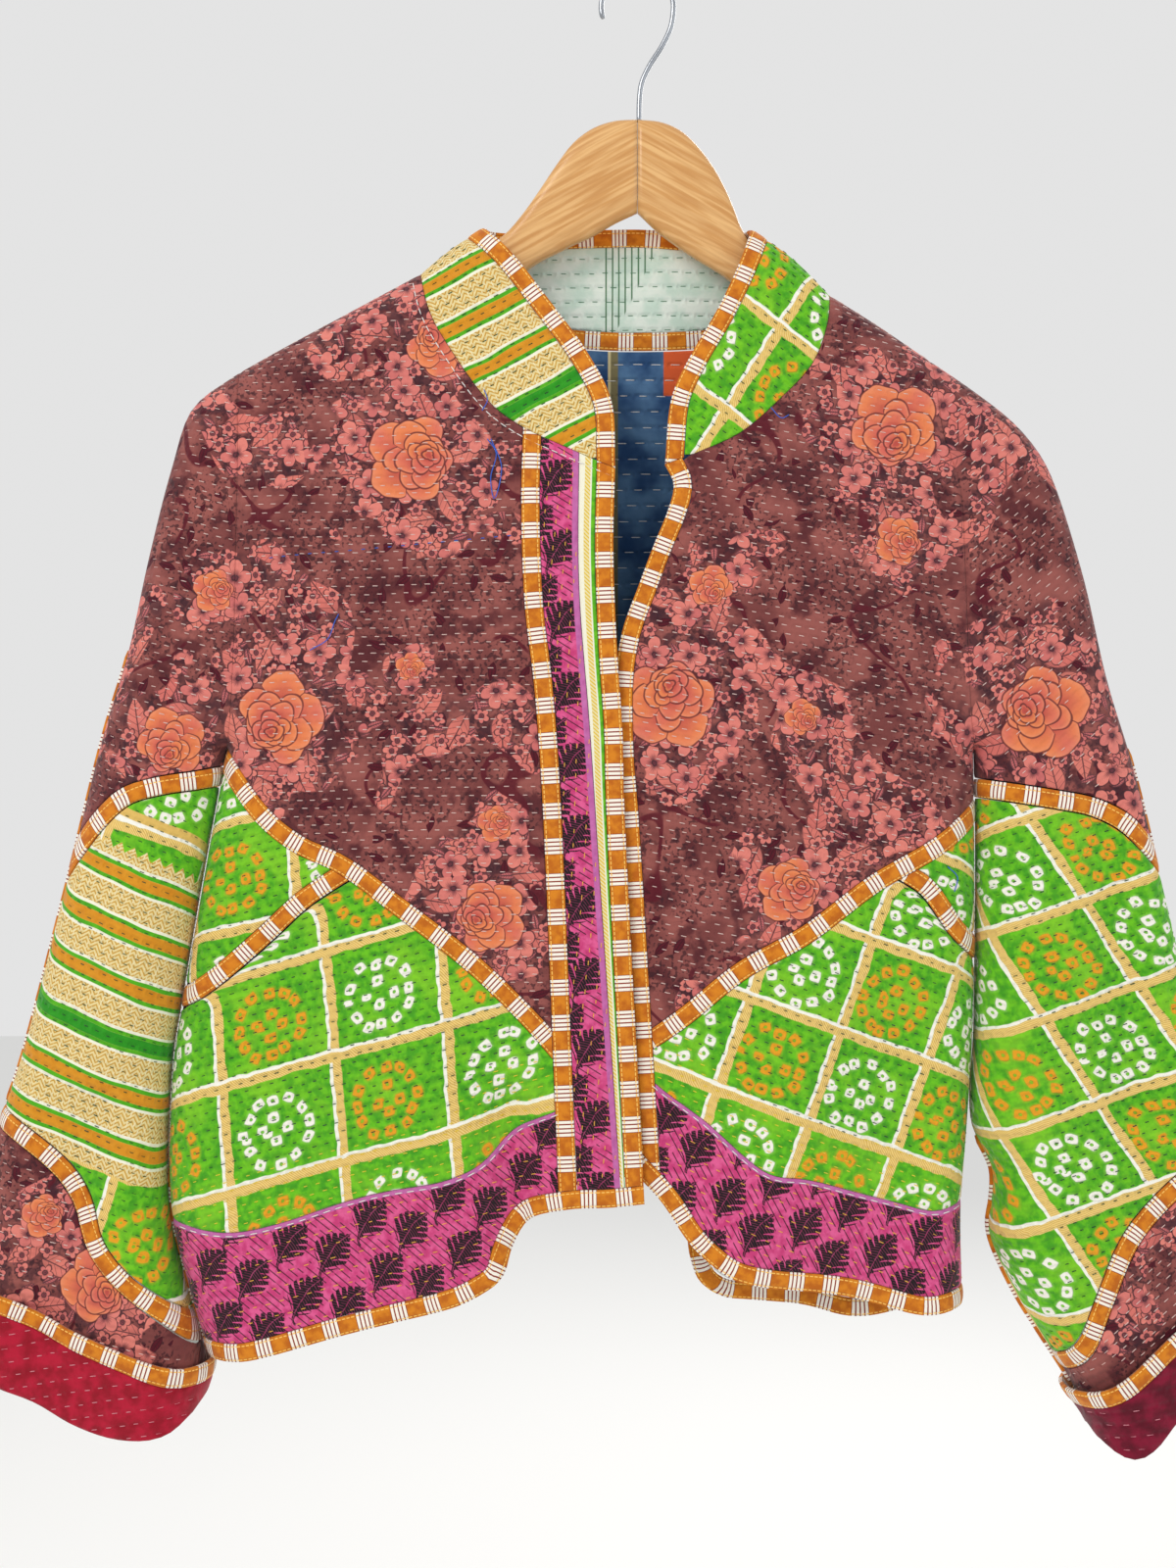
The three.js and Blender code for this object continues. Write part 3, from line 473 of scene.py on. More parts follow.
# A grid of places between four outlines, rows from the bottom up
def patch(left, right, bottom, top, rolls="", across=None):
    def stretch(line, start, end):
        a = line.crossing(start)
        b = line.crossing(end)
        return lambda t: line.at(mix(a, b, t)), abs(b - a)

    (l, lSize), (r, rSize) = (stretch(line, bottom, top) for line in (left, right))
    (b, bSize), (t, tSize) = (stretch(line, left, right) for line in (bottom, top))
    turned = [depth["sideRoll"] * (side in rolls) for side in "lr"]
    us = steps((bSize + tSize) / 2, *turned, across)
    vs = steps((lSize + rSize) / 2, 0, depth["shoulderRoll"] * ("t" in rolls))
    u = us[None, :, None]
    v = vs[:, None, None]
    ruled = mix(b(us)[None], t(us)[None], v)
    swept = mix(l(vs)[:, None], r(vs)[:, None], u)
    corners = mix(mix(b(0.0), b(1.0), u), mix(t(0.0), t(1.0), u), v)
    return ruled + swept - corners


# How far each point of a grid lies from its open edges
def edgeDistance(points, ring):
    def fromEnds(axis):
        run = np.linalg.norm(np.diff(points, axis=axis), axis=2)
        reach = np.cumsum(run, axis=axis)
        start = np.insert(reach, 0, 0, axis=axis)
        return np.minimum(start, np.take(start, [-1], axis=axis) - start)
    along = fromEnds(0)
    return along if ring else np.minimum(along, fromEnds(1))


# Places on the flat cloth: the hanging plane with every roll laid out
def laidOut(places, points, axis, turnAt=None):
    flat = np.diff(places, axis=axis)
    run = np.linalg.norm(np.diff(points, axis=axis), axis=2)
    size = np.maximum(np.linalg.norm(flat, axis=2), 1e-6)
    laid = flat * (run / size)[..., None]
    reach = np.insert(np.cumsum(laid, axis=axis), 0, 0, axis=axis)
    middle = (turnAt or places.shape[axis] - 1) // 2
    return reach - np.take(reach, [middle], axis=axis) + np.take(places, [middle], axis=axis)


# The smallest rectangle that the laid-out cloth is cut from
def cutSize(cloth):
    spots = cloth.reshape(-1, 2)
    sizes = []
    for degrees in range(0, 90, 3):
        angle = math.radians(degrees)
        turned = spots @ np.array([[math.cos(angle), -math.sin(angle)], [math.sin(angle), math.cos(angle)]])
        sizes.append(sorted(np.ptp(turned, axis=0)))
    return min(sizes, key=lambda size: size[0] * size[1])


# Keeps each corner's or point's place on the flat cloth, which the finishes read
def keepPlaces(mesh, spots, domain):
    layer = mesh.attributes.new("cloth", "FLOAT_VECTOR", domain)
    layer.data.foreach_set("vector", np.pad(spots, ((0, 0), (0, 1))).ravel())


# A ring's points, with the first ones again at its end
def closedRing(points):
    return np.concatenate([points, points[:, :1]], axis=1)


# How far each point lies along a path, and the way that the path runs there
def reachAlong(path):
    return np.insert(np.cumsum(np.linalg.norm(np.diff(path, axis=0), axis=1)), 0, 0)


def heading(path):
    way = np.gradient(path, axis=0)
    return way / np.linalg.norm(way, axis=1)[:, None]


surfaces = {}

# Where the back's flat cloth lies, clear of the front's
backCloth = np.array([2000, 0])


# A closed wall between an outer and an inner grid, with its places on the flat cloth
def addShell(name, outer, inner, cloth, ring=False):
    rows, columns = outer.shape[:2]
    last = columns if ring else columns - 1
    points = np.concatenate([outer.reshape(-1, 3), inner.reshape(-1, 3)]) * metre

    def quads(js, places, layers, dj, di):
        j, i = (grid.ravel()[:, None] for grid in np.meshgrid(js, places))
        parts = np.broadcast_arrays(np.array(layers)[None], j + np.array(dj), i + np.array(di))
        return np.stack(parts, -1)

    every, around = np.arange(rows - 1), np.arange(last)
    low, high = np.array([0]), np.array([rows - 1])
    faces = [
        quads(every, around, (0, 0, 0, 0), (0, 0, 1, 1), (0, 1, 1, 0)),
        quads(every, around, (1, 1, 1, 1), (0, 1, 1, 0), (0, 0, 1, 1)),
        quads(low, around, (0, 1, 1, 0), (0, 0, 0, 0), (0, 0, 1, 1)),
        quads(high, around, (0, 0, 1, 1), (0, 0, 0, 0), (0, 1, 1, 0)),
    ]
    if not ring:
        end = np.array([columns - 1])
        faces.append(quads(every, low, (0, 0, 1, 1), (0, 1, 1, 0), (0, 0, 0, 0)))
        faces.append(quads(every, end, (0, 1, 1, 0), (0, 0, 1, 1), (0, 0, 0, 0)))
    slots = np.concatenate([np.full(len(part), i == 1) for i, part in enumerate(faces)])
    faces = np.concatenate(faces)
    listed = faces[..., 0] * rows * columns + faces[..., 1] * columns + faces[..., 2] % columns
    a, b, c, d = (points[listed[:, k]] for k in range(4))
    if (a * np.cross(b, c)).sum() + (a * np.cross(c, d)).sum() < 0:
        faces, listed = faces[:, ::-1], listed[:, ::-1]
    mesh = bpy.data.meshes.new(name)
    mesh.from_pydata(points, [], listed.tolist())
    keepPlaces(mesh, cloth[faces[..., 1], faces[..., 2]].reshape(-1, 2), "CORNER")
    mesh.polygons.foreach_set("material_index", slots.astype(int))
    mesh.polygons.foreach_set("use_smooth", np.ones(len(faces), bool))
    piece = placed(name, mesh)
    surfaces[name] = {"cloth": cloth, "outer": outer, "inner": inner, "ring": ring}
    return piece


def surfaceArea(points, ring):
    points = closedRing(points) if ring else points
    a, b, c, d = points[:-1, :-1], points[:-1, 1:], points[1:, 1:], points[1:, :-1]
    return np.linalg.norm(np.cross(c - a, d - b), axis=2).sum() / 2


# Attaches a piece of cloth to the root, hides its CAD part and prints the flat size that it is cut to
def declareCloth(piece, node, outer, cloth, ring=False, strip=False):
    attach(piece, "root")
    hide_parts(node)
    area = surfaceArea(outer, ring)
    width, length = cutSize(cloth)
    if strip:
        run = np.linalg.norm(np.diff(outer, axis=0), axis=2).sum(0).mean()
        over = np.linalg.norm(np.diff(outer, axis=1), axis=2).sum(1).mean()
        length = max(run, over)
        width = max(area / length, bindingWidth)
    width = max(width, bindingWidth)
    size = (width * metre, length * metre)
    min(area / (width * length), 1) * size[0] * size[1]
    print(f"{node} cut {width:.0f} x {length:.0f} mm, area {area / 100:.0f} sq cm")


# How far a binding swells, and any cloth sinks, near an edge
def bindingLift(away):
    swell, over = 0.75, 4.5
    return bindingProud - edgeSink + swell * (1 - (1 - np.minimum(away / over, 1)) ** 2)


# Places along and across a binding
def alongStrip(points):
    runs = [np.linalg.norm(np.diff(points, axis=axis), axis=2).sum(axis).max() for axis in (0, 1)]
    upright = runs[0] > runs[1]
    strip = points if upright else points.transpose(1, 0, 2)
    middle = strip[:, strip.shape[1] // 2]
    tangent = heading(middle)
    off = strip - middle[:, None]
    along = (off * tangent[:, None]).sum(-1)
    away = np.linalg.norm(off - along[..., None] * tangent[:, None], axis=-1)
    side = np.sign(np.arange(strip.shape[1]) - strip.shape[1] // 2)
    both = np.stack([reachAlong(middle)[:, None] + along, away[:, :1].mean() + away * side], -1)
    return both if upright else both.transpose(1, 0, 2)


def clothLift(away):
    return -edgeSink * (1 - np.minimum(away / edgeSinkReach, 1)) ** 2


# A flat-hung panel over the places between four outlines
def addPanel(node, outline, rolls="", face=front, tucked=False, strip=False, ribbon=False):
    places = patch(*outline, rolls=rolls)
    at, out = clothPoints(places, face, bodyField, tucked, seamGap / 2)
    lift = (bindingLift if strip else clothLift)(edgeDistance(at, False))
    outer = at + out * lift[..., None]
    inner = at - out * wall
    cloth = laidOut(places, at, 1) + laidOut(places, at, 0) - places
    if face == back:
        cloth = cloth * (-1, 1) + backCloth
    if strip or ribbon:
        cloth = alongStrip(outer)
    piece = addShell(f"{node}_cloth", outer, inner, cloth)
    declareCloth(piece, node, outer, cloth, strip=strip)
    return piece


halfBinding = bindingWidth / 2
beyondEdge = halfBinding + seamGap
beyondBinding = bindingWidth + seamGap
beyondRound = halfBinding + roundGap
pocketTip = {"right": -572, "left": -543}
collarTip = {"right": -279, "left": -276}


def level(z):
    return Line([[-300, z], [300, z]])


# Outlines that several pieces share
flankRight = right["armhole"].beside(armholeGap / 2).then(right["side"])
flankLeft = left["armhole"].beside(-armholeGap / 2).then(left["side"])
placketEdge = right["placket"].beside(-beyondEdge)
leftInnerEdge = left["frontEdge"].beside(beyondBinding)
slantOverRight, slantUnderRight = (right["slant"].beside(d) for d in (beyondEdge, -beyondEdge))
slantOverLeft, slantUnderLeft = (left["slant"].beside(d) for d in (beyondEdge, -beyondEdge))

# Each outline is the left, right, bottom and top line of a panel
striped = "striped_binding"

addPanel("yoke_right_front", (
    flankRight, cornered(right["neck"].beside(-seamGap / 2), placketEdge),
    slantOverRight, right["shoulder"],
), rolls="lt")
addPanel("pocket_facing_right", (
    right["side"], right["pocket"].beside(-beyondEdge), level(pocketTip["right"]), slantUnderRight,
), rolls="l")
addPanel("lower_front_right", (
    cornered(right["pocket"].beside(beyondRound), right["side"]), placketEdge,
    right["bandTop"].beside(seamGap / 2), slantUnderRight,
), rolls="l")
addPanel("hem_band_right", (
    right["side"], placketEdge,
    right["hem"].beside(beyondBinding), right["bandTop"].beside(-seamGap / 2),
), rolls="l")

addPanel("yoke_left_front", (
    cornered(left["neck"].beside(seamGap / 2), leftInnerEdge), flankLeft,
    slantOverLeft, left["shoulder"],
), rolls="rt", tucked=True)
addPanel("pocket_facing_left", (
    left["pocket"].beside(beyondEdge), left["side"], level(pocketTip["left"]), slantUnderLeft,
), rolls="r", tucked=True)
addPanel("lower_front_left", (
    leftInnerEdge, cornered(left["pocket"].beside(-beyondRound), left["side"]),
    left["bandTop"].beside(seamGap / 2), slantUnderLeft,
), rolls="r", tucked=True)
addPanel("hem_band_left", (
    leftInnerEdge, left["side"],
    left["hem"].beside(beyondBinding), left["bandTop"].beside(-seamGap / 2),
), rolls="r", tucked=True)
print("front panels")

addPanel("placket_pink", (
    right["placket"].beside(beyondEdge), right["placketSplit"].beside(-seamGap / 2),
    right["hem"].beside(beyondBinding), right["neck"].beside(-seamGap / 2),
))
addPanel("placket_green", (
    right["placketSplit"].beside(seamGap / 2), right["frontEdge"].beside(-beyondBinding),
    right["hem"].beside(beyondBinding), right["neck"].beside(-seamGap / 2),
), ribbon=True)
addPanel("collar_right", (
    right["neck"].beside(seamGap / 2), right["opening"].beside(-beyondBinding),
    level(collarTip["right"]), right["collarSide"],
), rolls="t")
addPanel("collar_left", (
    left["opening"].beside(beyondBinding), left["neck"].beside(-seamGap / 2),
    level(collarTip["left"]), left["collarSide"],
), rolls="t", tucked=True)

# The back, from the hem up
backTop = cornered(right["shoulder"].reversed(), backNeck.beside(-beyondRound))
addPanel("back", (
    flankRight, flankLeft, backHem.beside(bindingWidth + roundGap),
    cornered(backTop, left["shoulder"]),
), rolls="lrt", face=back)
addPanel("collar_back", (
    right["collarSide"], left["collarSide"],
    backNeck.beside(beyondEdge), backOpening.beside(-beyondBinding),
), rolls="lr", face=back)
print("placket, collar and back")

# The two long edges of a binding around a line
def bothEdges(line, side=1):
    return line.beside(-side * halfBinding), line.beside(side * halfBinding)


# Each binding's left, right, bottom and top line, and the sides where it rolls over
neckRight, hemRight = right["neck"].beside(-seamGap / 2), right["hem"].beside(beyondBinding)
bindings = {
    "slant_binding_right": (flankRight, placketEdge, *bothEdges(right["slant"]), "l"),
    "pocket_binding_right": (right["side"], slantUnderRight, *bothEdges(right["pocket"], -1), "l"),
    "hem_binding_right": (
        right["side"], right["frontEdge"], right["hem"], right["hem"].beside(bindingWidth), "l",
    ),
    "placket_binding": (*bothEdges(right["placket"]), hemRight, neckRight, ""),
    "edge_binding_right": (
        right["frontEdge"].beside(-bindingWidth), right["frontEdge"], hemRight, neckRight, "",
    ),
    "collar_binding_right": (
        right["opening"].beside(-bindingWidth), right["opening"],
        right["neck"].beside(seamGap / 2), right["collarSide"], "t",
    ),
    "slant_binding_left": (leftInnerEdge, flankLeft, *bothEdges(left["slant"]), "r"),
    "pocket_binding_left": (slantUnderLeft, left["side"], *bothEdges(left["pocket"]), "r"),
    "hem_binding_left": (
        left["frontEdge"], left["side"], left["hem"], left["hem"].beside(bindingWidth), "r",
    ),
    "edge_binding_left": (
        left["frontEdge"], left["frontEdge"].beside(bindingWidth),
        left["hem"].beside(beyondBinding), left["neck"].beside(seamGap / 2), "",
    ),
    "collar_binding_left": (
        left["opening"], left["opening"].beside(bindingWidth),
        left["neck"].beside(-seamGap / 2), left["collarSide"], "t",
    ),
}
for node, (*outline, rolls) in bindings.items():
    addPanel(node, outline, rolls=rolls, tucked=node.endswith("left"), strip=True)

backBindings = {
    "back_hem_binding": (right["side"], left["side"], backHem, backHem.beside(bindingWidth)),
    "back_neck_binding": (topLine(right), topLine(left), *bothEdges(backNeck)),
    "collar_binding_back": (
        right["collarSide"], left["collarSide"], backOpening.beside(-bindingWidth), backOpening,
    ),
}
for node, outline in backBindings.items():
    addPanel(node, outline, rolls="lr", face=back, strip=True)
print("bindings")


# Rings of a sleeve, from its outer edge over the front to the inner edge and round the back
def sleeveRings(half, inward, bottom, top):
    field = sleeveField(half, inward)
    places = patch(half["sleeveOuter"], half["sleeveInner"], bottom, top, rolls="lr", across=16)
    clear = np.full(places.shape[1], seamGap / 2)
    clear[[0, -1]] = 0
    clear = np.broadcast_to(clear, places.shape[:2]).ravel()
    over = clothPoints(places, front, field, False, clear)
    under = clothPoints(places, back, field, False, clear)
    turnAt = places.shape[1] - 1
    at, out = (np.concatenate([a, b[:, -2:0:-1]], axis=1) for a, b in zip(over, under))
    around = np.concatenate([places, places[:, -2::-1]], axis=1)
    cloth = laidOut(around, closedRing(at), 1, turnAt)
    # The back is a mirror of the front over the inner edge
    start, end = cloth[0, turnAt], cloth[-1, turnAt]
    chord = (end - start) / np.linalg.norm(end - start)
    over = cloth[:, turnAt - 1::-1] - start
    cloth[:, turnAt + 1:] = start + 2 * (over @ chord)[..., None] * chord - over
    return {"at": at, "out": out, "cloth": cloth}


def addTube(node, rings, strip=False):
    at, out, cloth = rings["at"], rings["out"], rings["cloth"]
    lift = (bindingLift if strip else clothLift)(edgeDistance(at, True))
    outer = at + out * lift[..., None]
    if strip:
        cloth = alongStrip(closedRing(outer))
    piece = addShell(f"{node}_cloth", outer, at - out * wall, cloth, ring=True)
    declareCloth(piece, node, outer, cloth, ring=True, strip=strip)
    return piece


# The turned-up cuff and its binding stand further off toward the bound edge
def addCuff(node, rings, reach, strip=False):
    at, out = rings["at"], rings["out"]
    run = np.linalg.norm(np.diff(at, axis=0), axis=2)
    share = np.insert(np.cumsum(run, axis=0), 0, 0, axis=0)
    share = share / share[-1:]
    clear = cuffClear + cuffStandOff * mix(*reach, share)
    lift = (bindingLift if strip else clothLift)(edgeDistance(at, True))
    outer = at + out * (clear + lift + wall)[..., None]
    cloth = alongStrip(closedRing(outer)) if strip else rings["cloth"]
    piece = addShell(f"{node}_cloth", outer, at + out * clear[..., None], cloth, ring=True)
    declareCloth(piece, node, outer, cloth, ring=True, strip=strip)
    return piece


def joined(*parts):
    return {key: np.concatenate([part[key][(i > 0):] for i, part in enumerate(parts)]) for key in parts[0]}


def addSleeve(side, half, inward):
    upper, lower = half["seamUpper"], half["seamLower"]
    cuffSplit = half["cuffTop"].beside(-bindingWidth)

    def rings(bottom, top):
        return sleeveRings(half, inward, bottom, top)

    armhole = half["armhole"].beside(-inward * armholeGap / 2)
    addTube(f"sleeve_upper_{side}", rings(upper.beside(beyondRound), armhole))
    addTube(f"sleeve_upper_binding_{side}", rings(*bothEdges(upper)), True)
    addTube(f"sleeve_middle_{side}", rings(lower.beside(beyondRound), upper.beside(-beyondRound)))
    addTube(f"sleeve_lower_binding_{side}", rings(*bothEdges(lower)), True)
    cuff = rings(half["sleeveEnd"], cuffSplit)
    bound = rings(cuffSplit.beside(seamGap), half["cuffTop"])
    plain = rings(half["cuffTop"], lower.beside(-beyondRound))
    addTube(f"sleeve_lower_{side}", joined(cuff, bound, plain))
    addCuff(f"cuff_{side}", cuff, cuffReach["cloth"])
    addCuff(f"cuff_binding_{side}", bound, cuffReach["binding"], True)


addSleeve("right", right, 1)
addSleeve("left", left, -1)
print("sleeves and cuffs")


def givesVector(value):
    return isinstance(value, tuple) or isinstance(value, Wire) and value.isVector


# A node's output, with arithmetic that adds nodes
class Wire:
    def __init__(self, tree, socket):
        self.tree = tree
        self.socket = socket

    @property
    def isVector(self):
        return self.socket.type in ("VECTOR", "RGBA")

    def maths(self, operation, *others, out=None):
        vector = self.isVector or any(givesVector(other) for other in others)
        kind = "ShaderNodeVectorMath" if vector else "ShaderNodeMath"
        if operation == "SCALE":
            return self.tree.node(kind, {"operation": operation}, {0: self, "Scale": others[0]})
        inputs = dict(enumerate((self, *others)))
        return self.tree.node(kind, {"operation": operation}, inputs, out)

    def __add__(self, other):
        return self.maths("ADD", other)

    def __radd__(self, other):
        return self.maths("ADD", other)

    def __sub__(self, other):
        return self.maths("SUBTRACT", other)

    def __rsub__(self, other):
        return (self * -1) + other

    def __mul__(self, other):
        if self.isVector and not givesVector(other):
            return self.maths("SCALE", other)
        return self.maths("MULTIPLY", other)

    def __rmul__(self, other):
        return self * other

    def __truediv__(self, other):
        return self * (1 / other) if isinstance(other, (int, float)) else self.maths("DIVIDE", other)

    def __neg__(self):
        return self * -1

    def __abs__(self):
        return self.maths("ABSOLUTE")

    def __mod__(self, other):
        return self.maths("FLOORED_MODULO", other)

    def floor(self):
        return self.maths("FLOOR")

    def least(self, other):
        return self.maths("MINIMUM", other)

    def most(self, other):
        return self.maths("MAXIMUM", other)

    def below(self, other):
        return self.maths("LESS_THAN", other)

    def sine(self):
        return self.maths("SINE")

    def length(self):
        return self.maths("LENGTH", out="Value")

    def dot(self, other):
        return self.maths("DOT_PRODUCT", other, out="Value")

    # From 0 at the first value to 1 at the second
    def rise(self, start, end):
        inputs = {"Value": self, "From Min": start, "From Max": end}
        return self.tree.node("ShaderNodeMapRange", {"interpolation_type": "SMOOTHSTEP"}, inputs)

    def parts(self):
        split = self.tree.made("ShaderNodeSeparateXYZ", {}, {0: self})
        return [Wire(self.tree, split.outputs[k]) for k in range(3)]


class Finish:
    def __init__(self, name):
        self.material = bpy.data.materials.new(name)
        self.material.use_nodes = True
        self.nodes = self.material.node_tree.nodes
        self.shader = self.nodes["Principled BSDF"]

    def made(self, kind, settings, inputs):
        node = self.nodes.new(kind)
        for name, value in settings.items():
            setattr(node, name, value)
        for name, value in inputs.items():
            self.plug(node.inputs[name], value)
        return node

    def plug(self, socket, value):
        if isinstance(value, Wire):
            self.material.node_tree.links.new(value.socket, socket)
        elif socket.type == "RGBA" and len(value) == 3:
            socket.default_value = (*value, 1)
        elif socket.type == "VECTOR" and not isinstance(value, tuple):
            socket.default_value = (value, value, value)
        else:
            socket.default_value = value

    # Any node, by its type, settings, inputs and the output that is used
    def node(self, kind, settings=None, inputs=None, out=None):
        made = self.made(kind, settings or {}, inputs or {})
        return Wire(self, made.outputs[out if out is not None else 0])

    def blend(self, a, b, t):
        return self.node("ShaderNodeMix", {"data_type": "RGBA"}, {0: t, 6: a, 7: b}, 2)

    def choose(self, a, b, t):
        return self.node("ShaderNodeMix", {"data_type": "VECTOR"}, {0: t, 4: a, 5: b}, 1)

    def vector(self, x, y, z=0.0):
        return self.node("ShaderNodeCombineXYZ", {}, {0: x, 1: y, 2: z})

    def noise(self, place, size, detail=2.0, out=0):
        inputs = {"Vector": place, "Scale": 1 / size, "Detail": detail}
        return self.node("ShaderNodeTexNoise", {"noise_dimensions": "2D"}, inputs, out)

    def hashed(self, place, out=0):
        return self.node("ShaderNodeTexWhiteNoise", {"noise_dimensions": "2D"}, {"Vector": place}, out)

    def places(self):
        return self.node("ShaderNodeAttribute", {"attribute_name": "cloth"}, {}, "Vector")

    def spun(self, place, angle):
        inputs = {"Vector": place, "Angle": angle}
        return self.node("ShaderNodeVectorRotate", {"rotation_type": "Z_AXIS"}, inputs)

    def turned(self, place, degrees):
        return self.spun(place, math.radians(degrees))

    def bearing(self, z, x):
        return self.node("ShaderNodeMath", {"operation": "ARCTAN2"}, {0: z, 1: x})

    # Two colours, each 0 to 255, in soft patches of a size
    def mottled(self, place, dark, light, size, start=0.3, end=0.7):
        return self.blend(tint(*dark), tint(*light), self.noise(place, size, 3.0).rise(start, end))

    # Sets the shader's colour, its even roughness and the relief, in millimetres
    def wear(self, colour, relief=None, roughness=0.85, sheen=0.15):
        self.plug(self.shader.inputs["Base Color"], colour)
        self.shader.inputs["Roughness"].default_value = roughness
        self.shader.inputs["Specular IOR Level"].default_value = 0.25
        self.shader.inputs["Sheen Weight"].default_value = sheen
        if relief is not None:
            inputs = {"Height": relief, "Distance": metre, "Strength": 1.0}
            self.plug(self.shader.inputs["Normal"], self.node("ShaderNodeBump", {}, inputs))
        return self.material


# A colour as it looks on a screen, 0 to 255, as the shader's linear one
def tint(r, g, b):
    return tuple((c / 255 / 12.92) if c < 11 else ((c / 255 + 0.055) / 1.055) ** 2.4 for c in (r, g, b))


# Running stitch of each cloth: the way its rows run, their gap, the pitch along them, the dash,
# and how deep they sink
def stitch(degrees, rowGap, pitch, dash, sunk=0.5):
    return {"degrees": degrees, "rowGap": rowGap, "pitch": pitch, "dash": dash, "sunk": sunk}


stitching = {
    "yokeRight": stitch(0, 4.7, 7.4, 3.7),
    "yokeLeft": stitch(-11, 4.7, 7.4, 3.7),
    "sleeveTopRight": stitch(-14, 4.7, 7.4, 3.7),
    "sleeveTopLeft": stitch(40, 4.7, 7.4, 3.7),
    "frontRight": stitch(16, 5.0, 7.0, 3.0, 0.75),
    "frontLeft": stitch(-20, 5.0, 7.0, 3.0, 0.75),
    "sleeveRight": stitch(-23, 5.0, 7.2, 3.2, 0.6),
    "sleeveLeft": stitch(18, 5.0, 7.2, 3.0, 0.75),
    "collarRight": stitch(28, 4.8, 7.0, 3.4, 0.6),
    "collarLeft": stitch(-38, 4.8, 7.0, 3.2, 0.7),
    "band": stitch(15, 7.5, 7.8, 3.4),
    "bandLeft": stitch(-24, 7.5, 7.8, 3.4),
    "placket": stitch(86, 6.5, 7.8, 3.4),
    "cuffs": stitch(8, 7.5, 8.0, 3.8),
    "mint": stitch(0, 8.2, 8.0, 4.2),
    "back": stitch(2, 5.0, 8.0, 4.0),
    "inside": stitch(0, 9.0, 11.0, 6.4, 0.6),
}
waveLength = 47
waveHeight = 0.3
rowShift = 0.37


# How the cloth sinks at each running stitch, in millimetres
def puckered(finish, place, key):
    sewn = stitching[key]
    angle = math.radians(sewn["degrees"])
    along = place.dot((math.cos(angle), math.sin(angle), 0))
    across = place.dot((-math.sin(angle), math.cos(angle), 0)) / sewn["rowGap"]
    across = across + (along / waveLength).sine() * waveHeight
    row = across.floor()
    offRow = (across - row - 0.5) * sewn["rowGap"]
    offStitch = abs((along / sewn["pitch"] + row * rowShift) % 1 - 0.5) * sewn["pitch"]
    away = finish.vector(offRow, (offStitch - sewn["dash"] / 2).most(0)).length()
    weave = finish.noise(place, 1.1, 1.0)
    return away.rise(0, 2.3) * sewn["sunk"] + weave * 0.14


# The way from the nearest line of a repeat that is centred on it
def centred(value, size):
    return ((value / size + 0.5) % 1 - 0.5) * size


def band(value, middle, half, soft=0.3):
    return 1 - abs(value - middle).rise(half - soft, half + soft)


def warped(finish, place, size, reach):
    return place + (finish.noise(place, size, 1.0, 1) - (0.5, 0.5, 0.5)) * reach


# Tie-dyed cloth: a pale lattice with rings of small knots between its lines
def latticeColour(finish, place, laid):
    place = warped(finish, place, 9, 2.2) - laid["origin"]
    row, column = (math.radians(laid[key]) for key in ("rows", "columns"))
    x = place.dot((math.sin(column), -math.cos(column), 0))
    z = place.dot((-math.sin(row), math.cos(row), 0))
    width, height = laid["cell"]
    cellX, cellZ = (x / width).floor(), (z / height).floor()
    x = x - (cellX + 0.5) * width
    z = z - (cellZ + 0.5) * height
    colour = finish.mottled(place, (66, 156, 26), (104, 192, 26), 5)
    # Painted highlights: lighter lime patches in soft noise over the green
    paintedHighlight = finish.noise(place, 30, 2.0).rise(0.45, 0.75) * 0.6
    colour = finish.blend(colour, tint(140, 208, 40), paintedHighlight)
    white, ochre = tint(244, 242, 230), tint(228, 158, 30)
    isWhite = ((cellX + cellZ + laid["phase"]) % 2).below(0.5)
    knots = finish.blend(ochre, white, isWhite)
    halo = finish.blend(tint(176, 190, 40), tint(150, 214, 90), isWhite)
    spot = finish.vector(x, z - 1)
    turn = finish.bearing(z - 1, x)
    relief = 0
    for count, radius in ((12, 17.5), (4, 6.6)):
        sector = (turn / (2 * math.pi) * count + 0.5).floor()
        angle = sector * (2 * math.pi / count)
        knot = finish.vector((angle + math.pi / 2).sine(), angle.sine()) * radius
        chance = finish.hashed(finish.vector(cellX * 7 + sector, cellZ * 5 + count), 1)
        off = (spot - knot - (chance - (0.5, 0.5, 0.5)) * 3.6) * (1, 1, 0)
        off = finish.spun(off, -angle)
        a, b, _ = (abs(part) for part in off.parts())
        size = a.most(b * 0.86) * 0.6 + off.length() * 0.4
        ring = (1 - size.rise(2.6, 3.2)) * off.length().rise(0.75, 1.15)
        colour = finish.blend(colour, halo, (1 - size.rise(3.0, 4.6)) * 0.45)
        colour = finish.blend(colour, knots, ring)
        relief = relief + ring * 0.4
    hatch = ((x + z) / 1.5 % 1).rise(0.35, 0.6)
    thread = finish.blend(tint(214, 174, 84), tint(238, 208, 132), hatch)
    for fromEdge, ochreAt, whiteAt in ((x + width / 2, 4.5, 1.1), (z + height / 2, 2.7, 6.1)):
        colour = finish.blend(colour, white, band(fromEdge, whiteAt, 1.0))
        colour = finish.blend(colour, thread, band(fromEdge, ochreAt, 2.5))
    return colour, relief


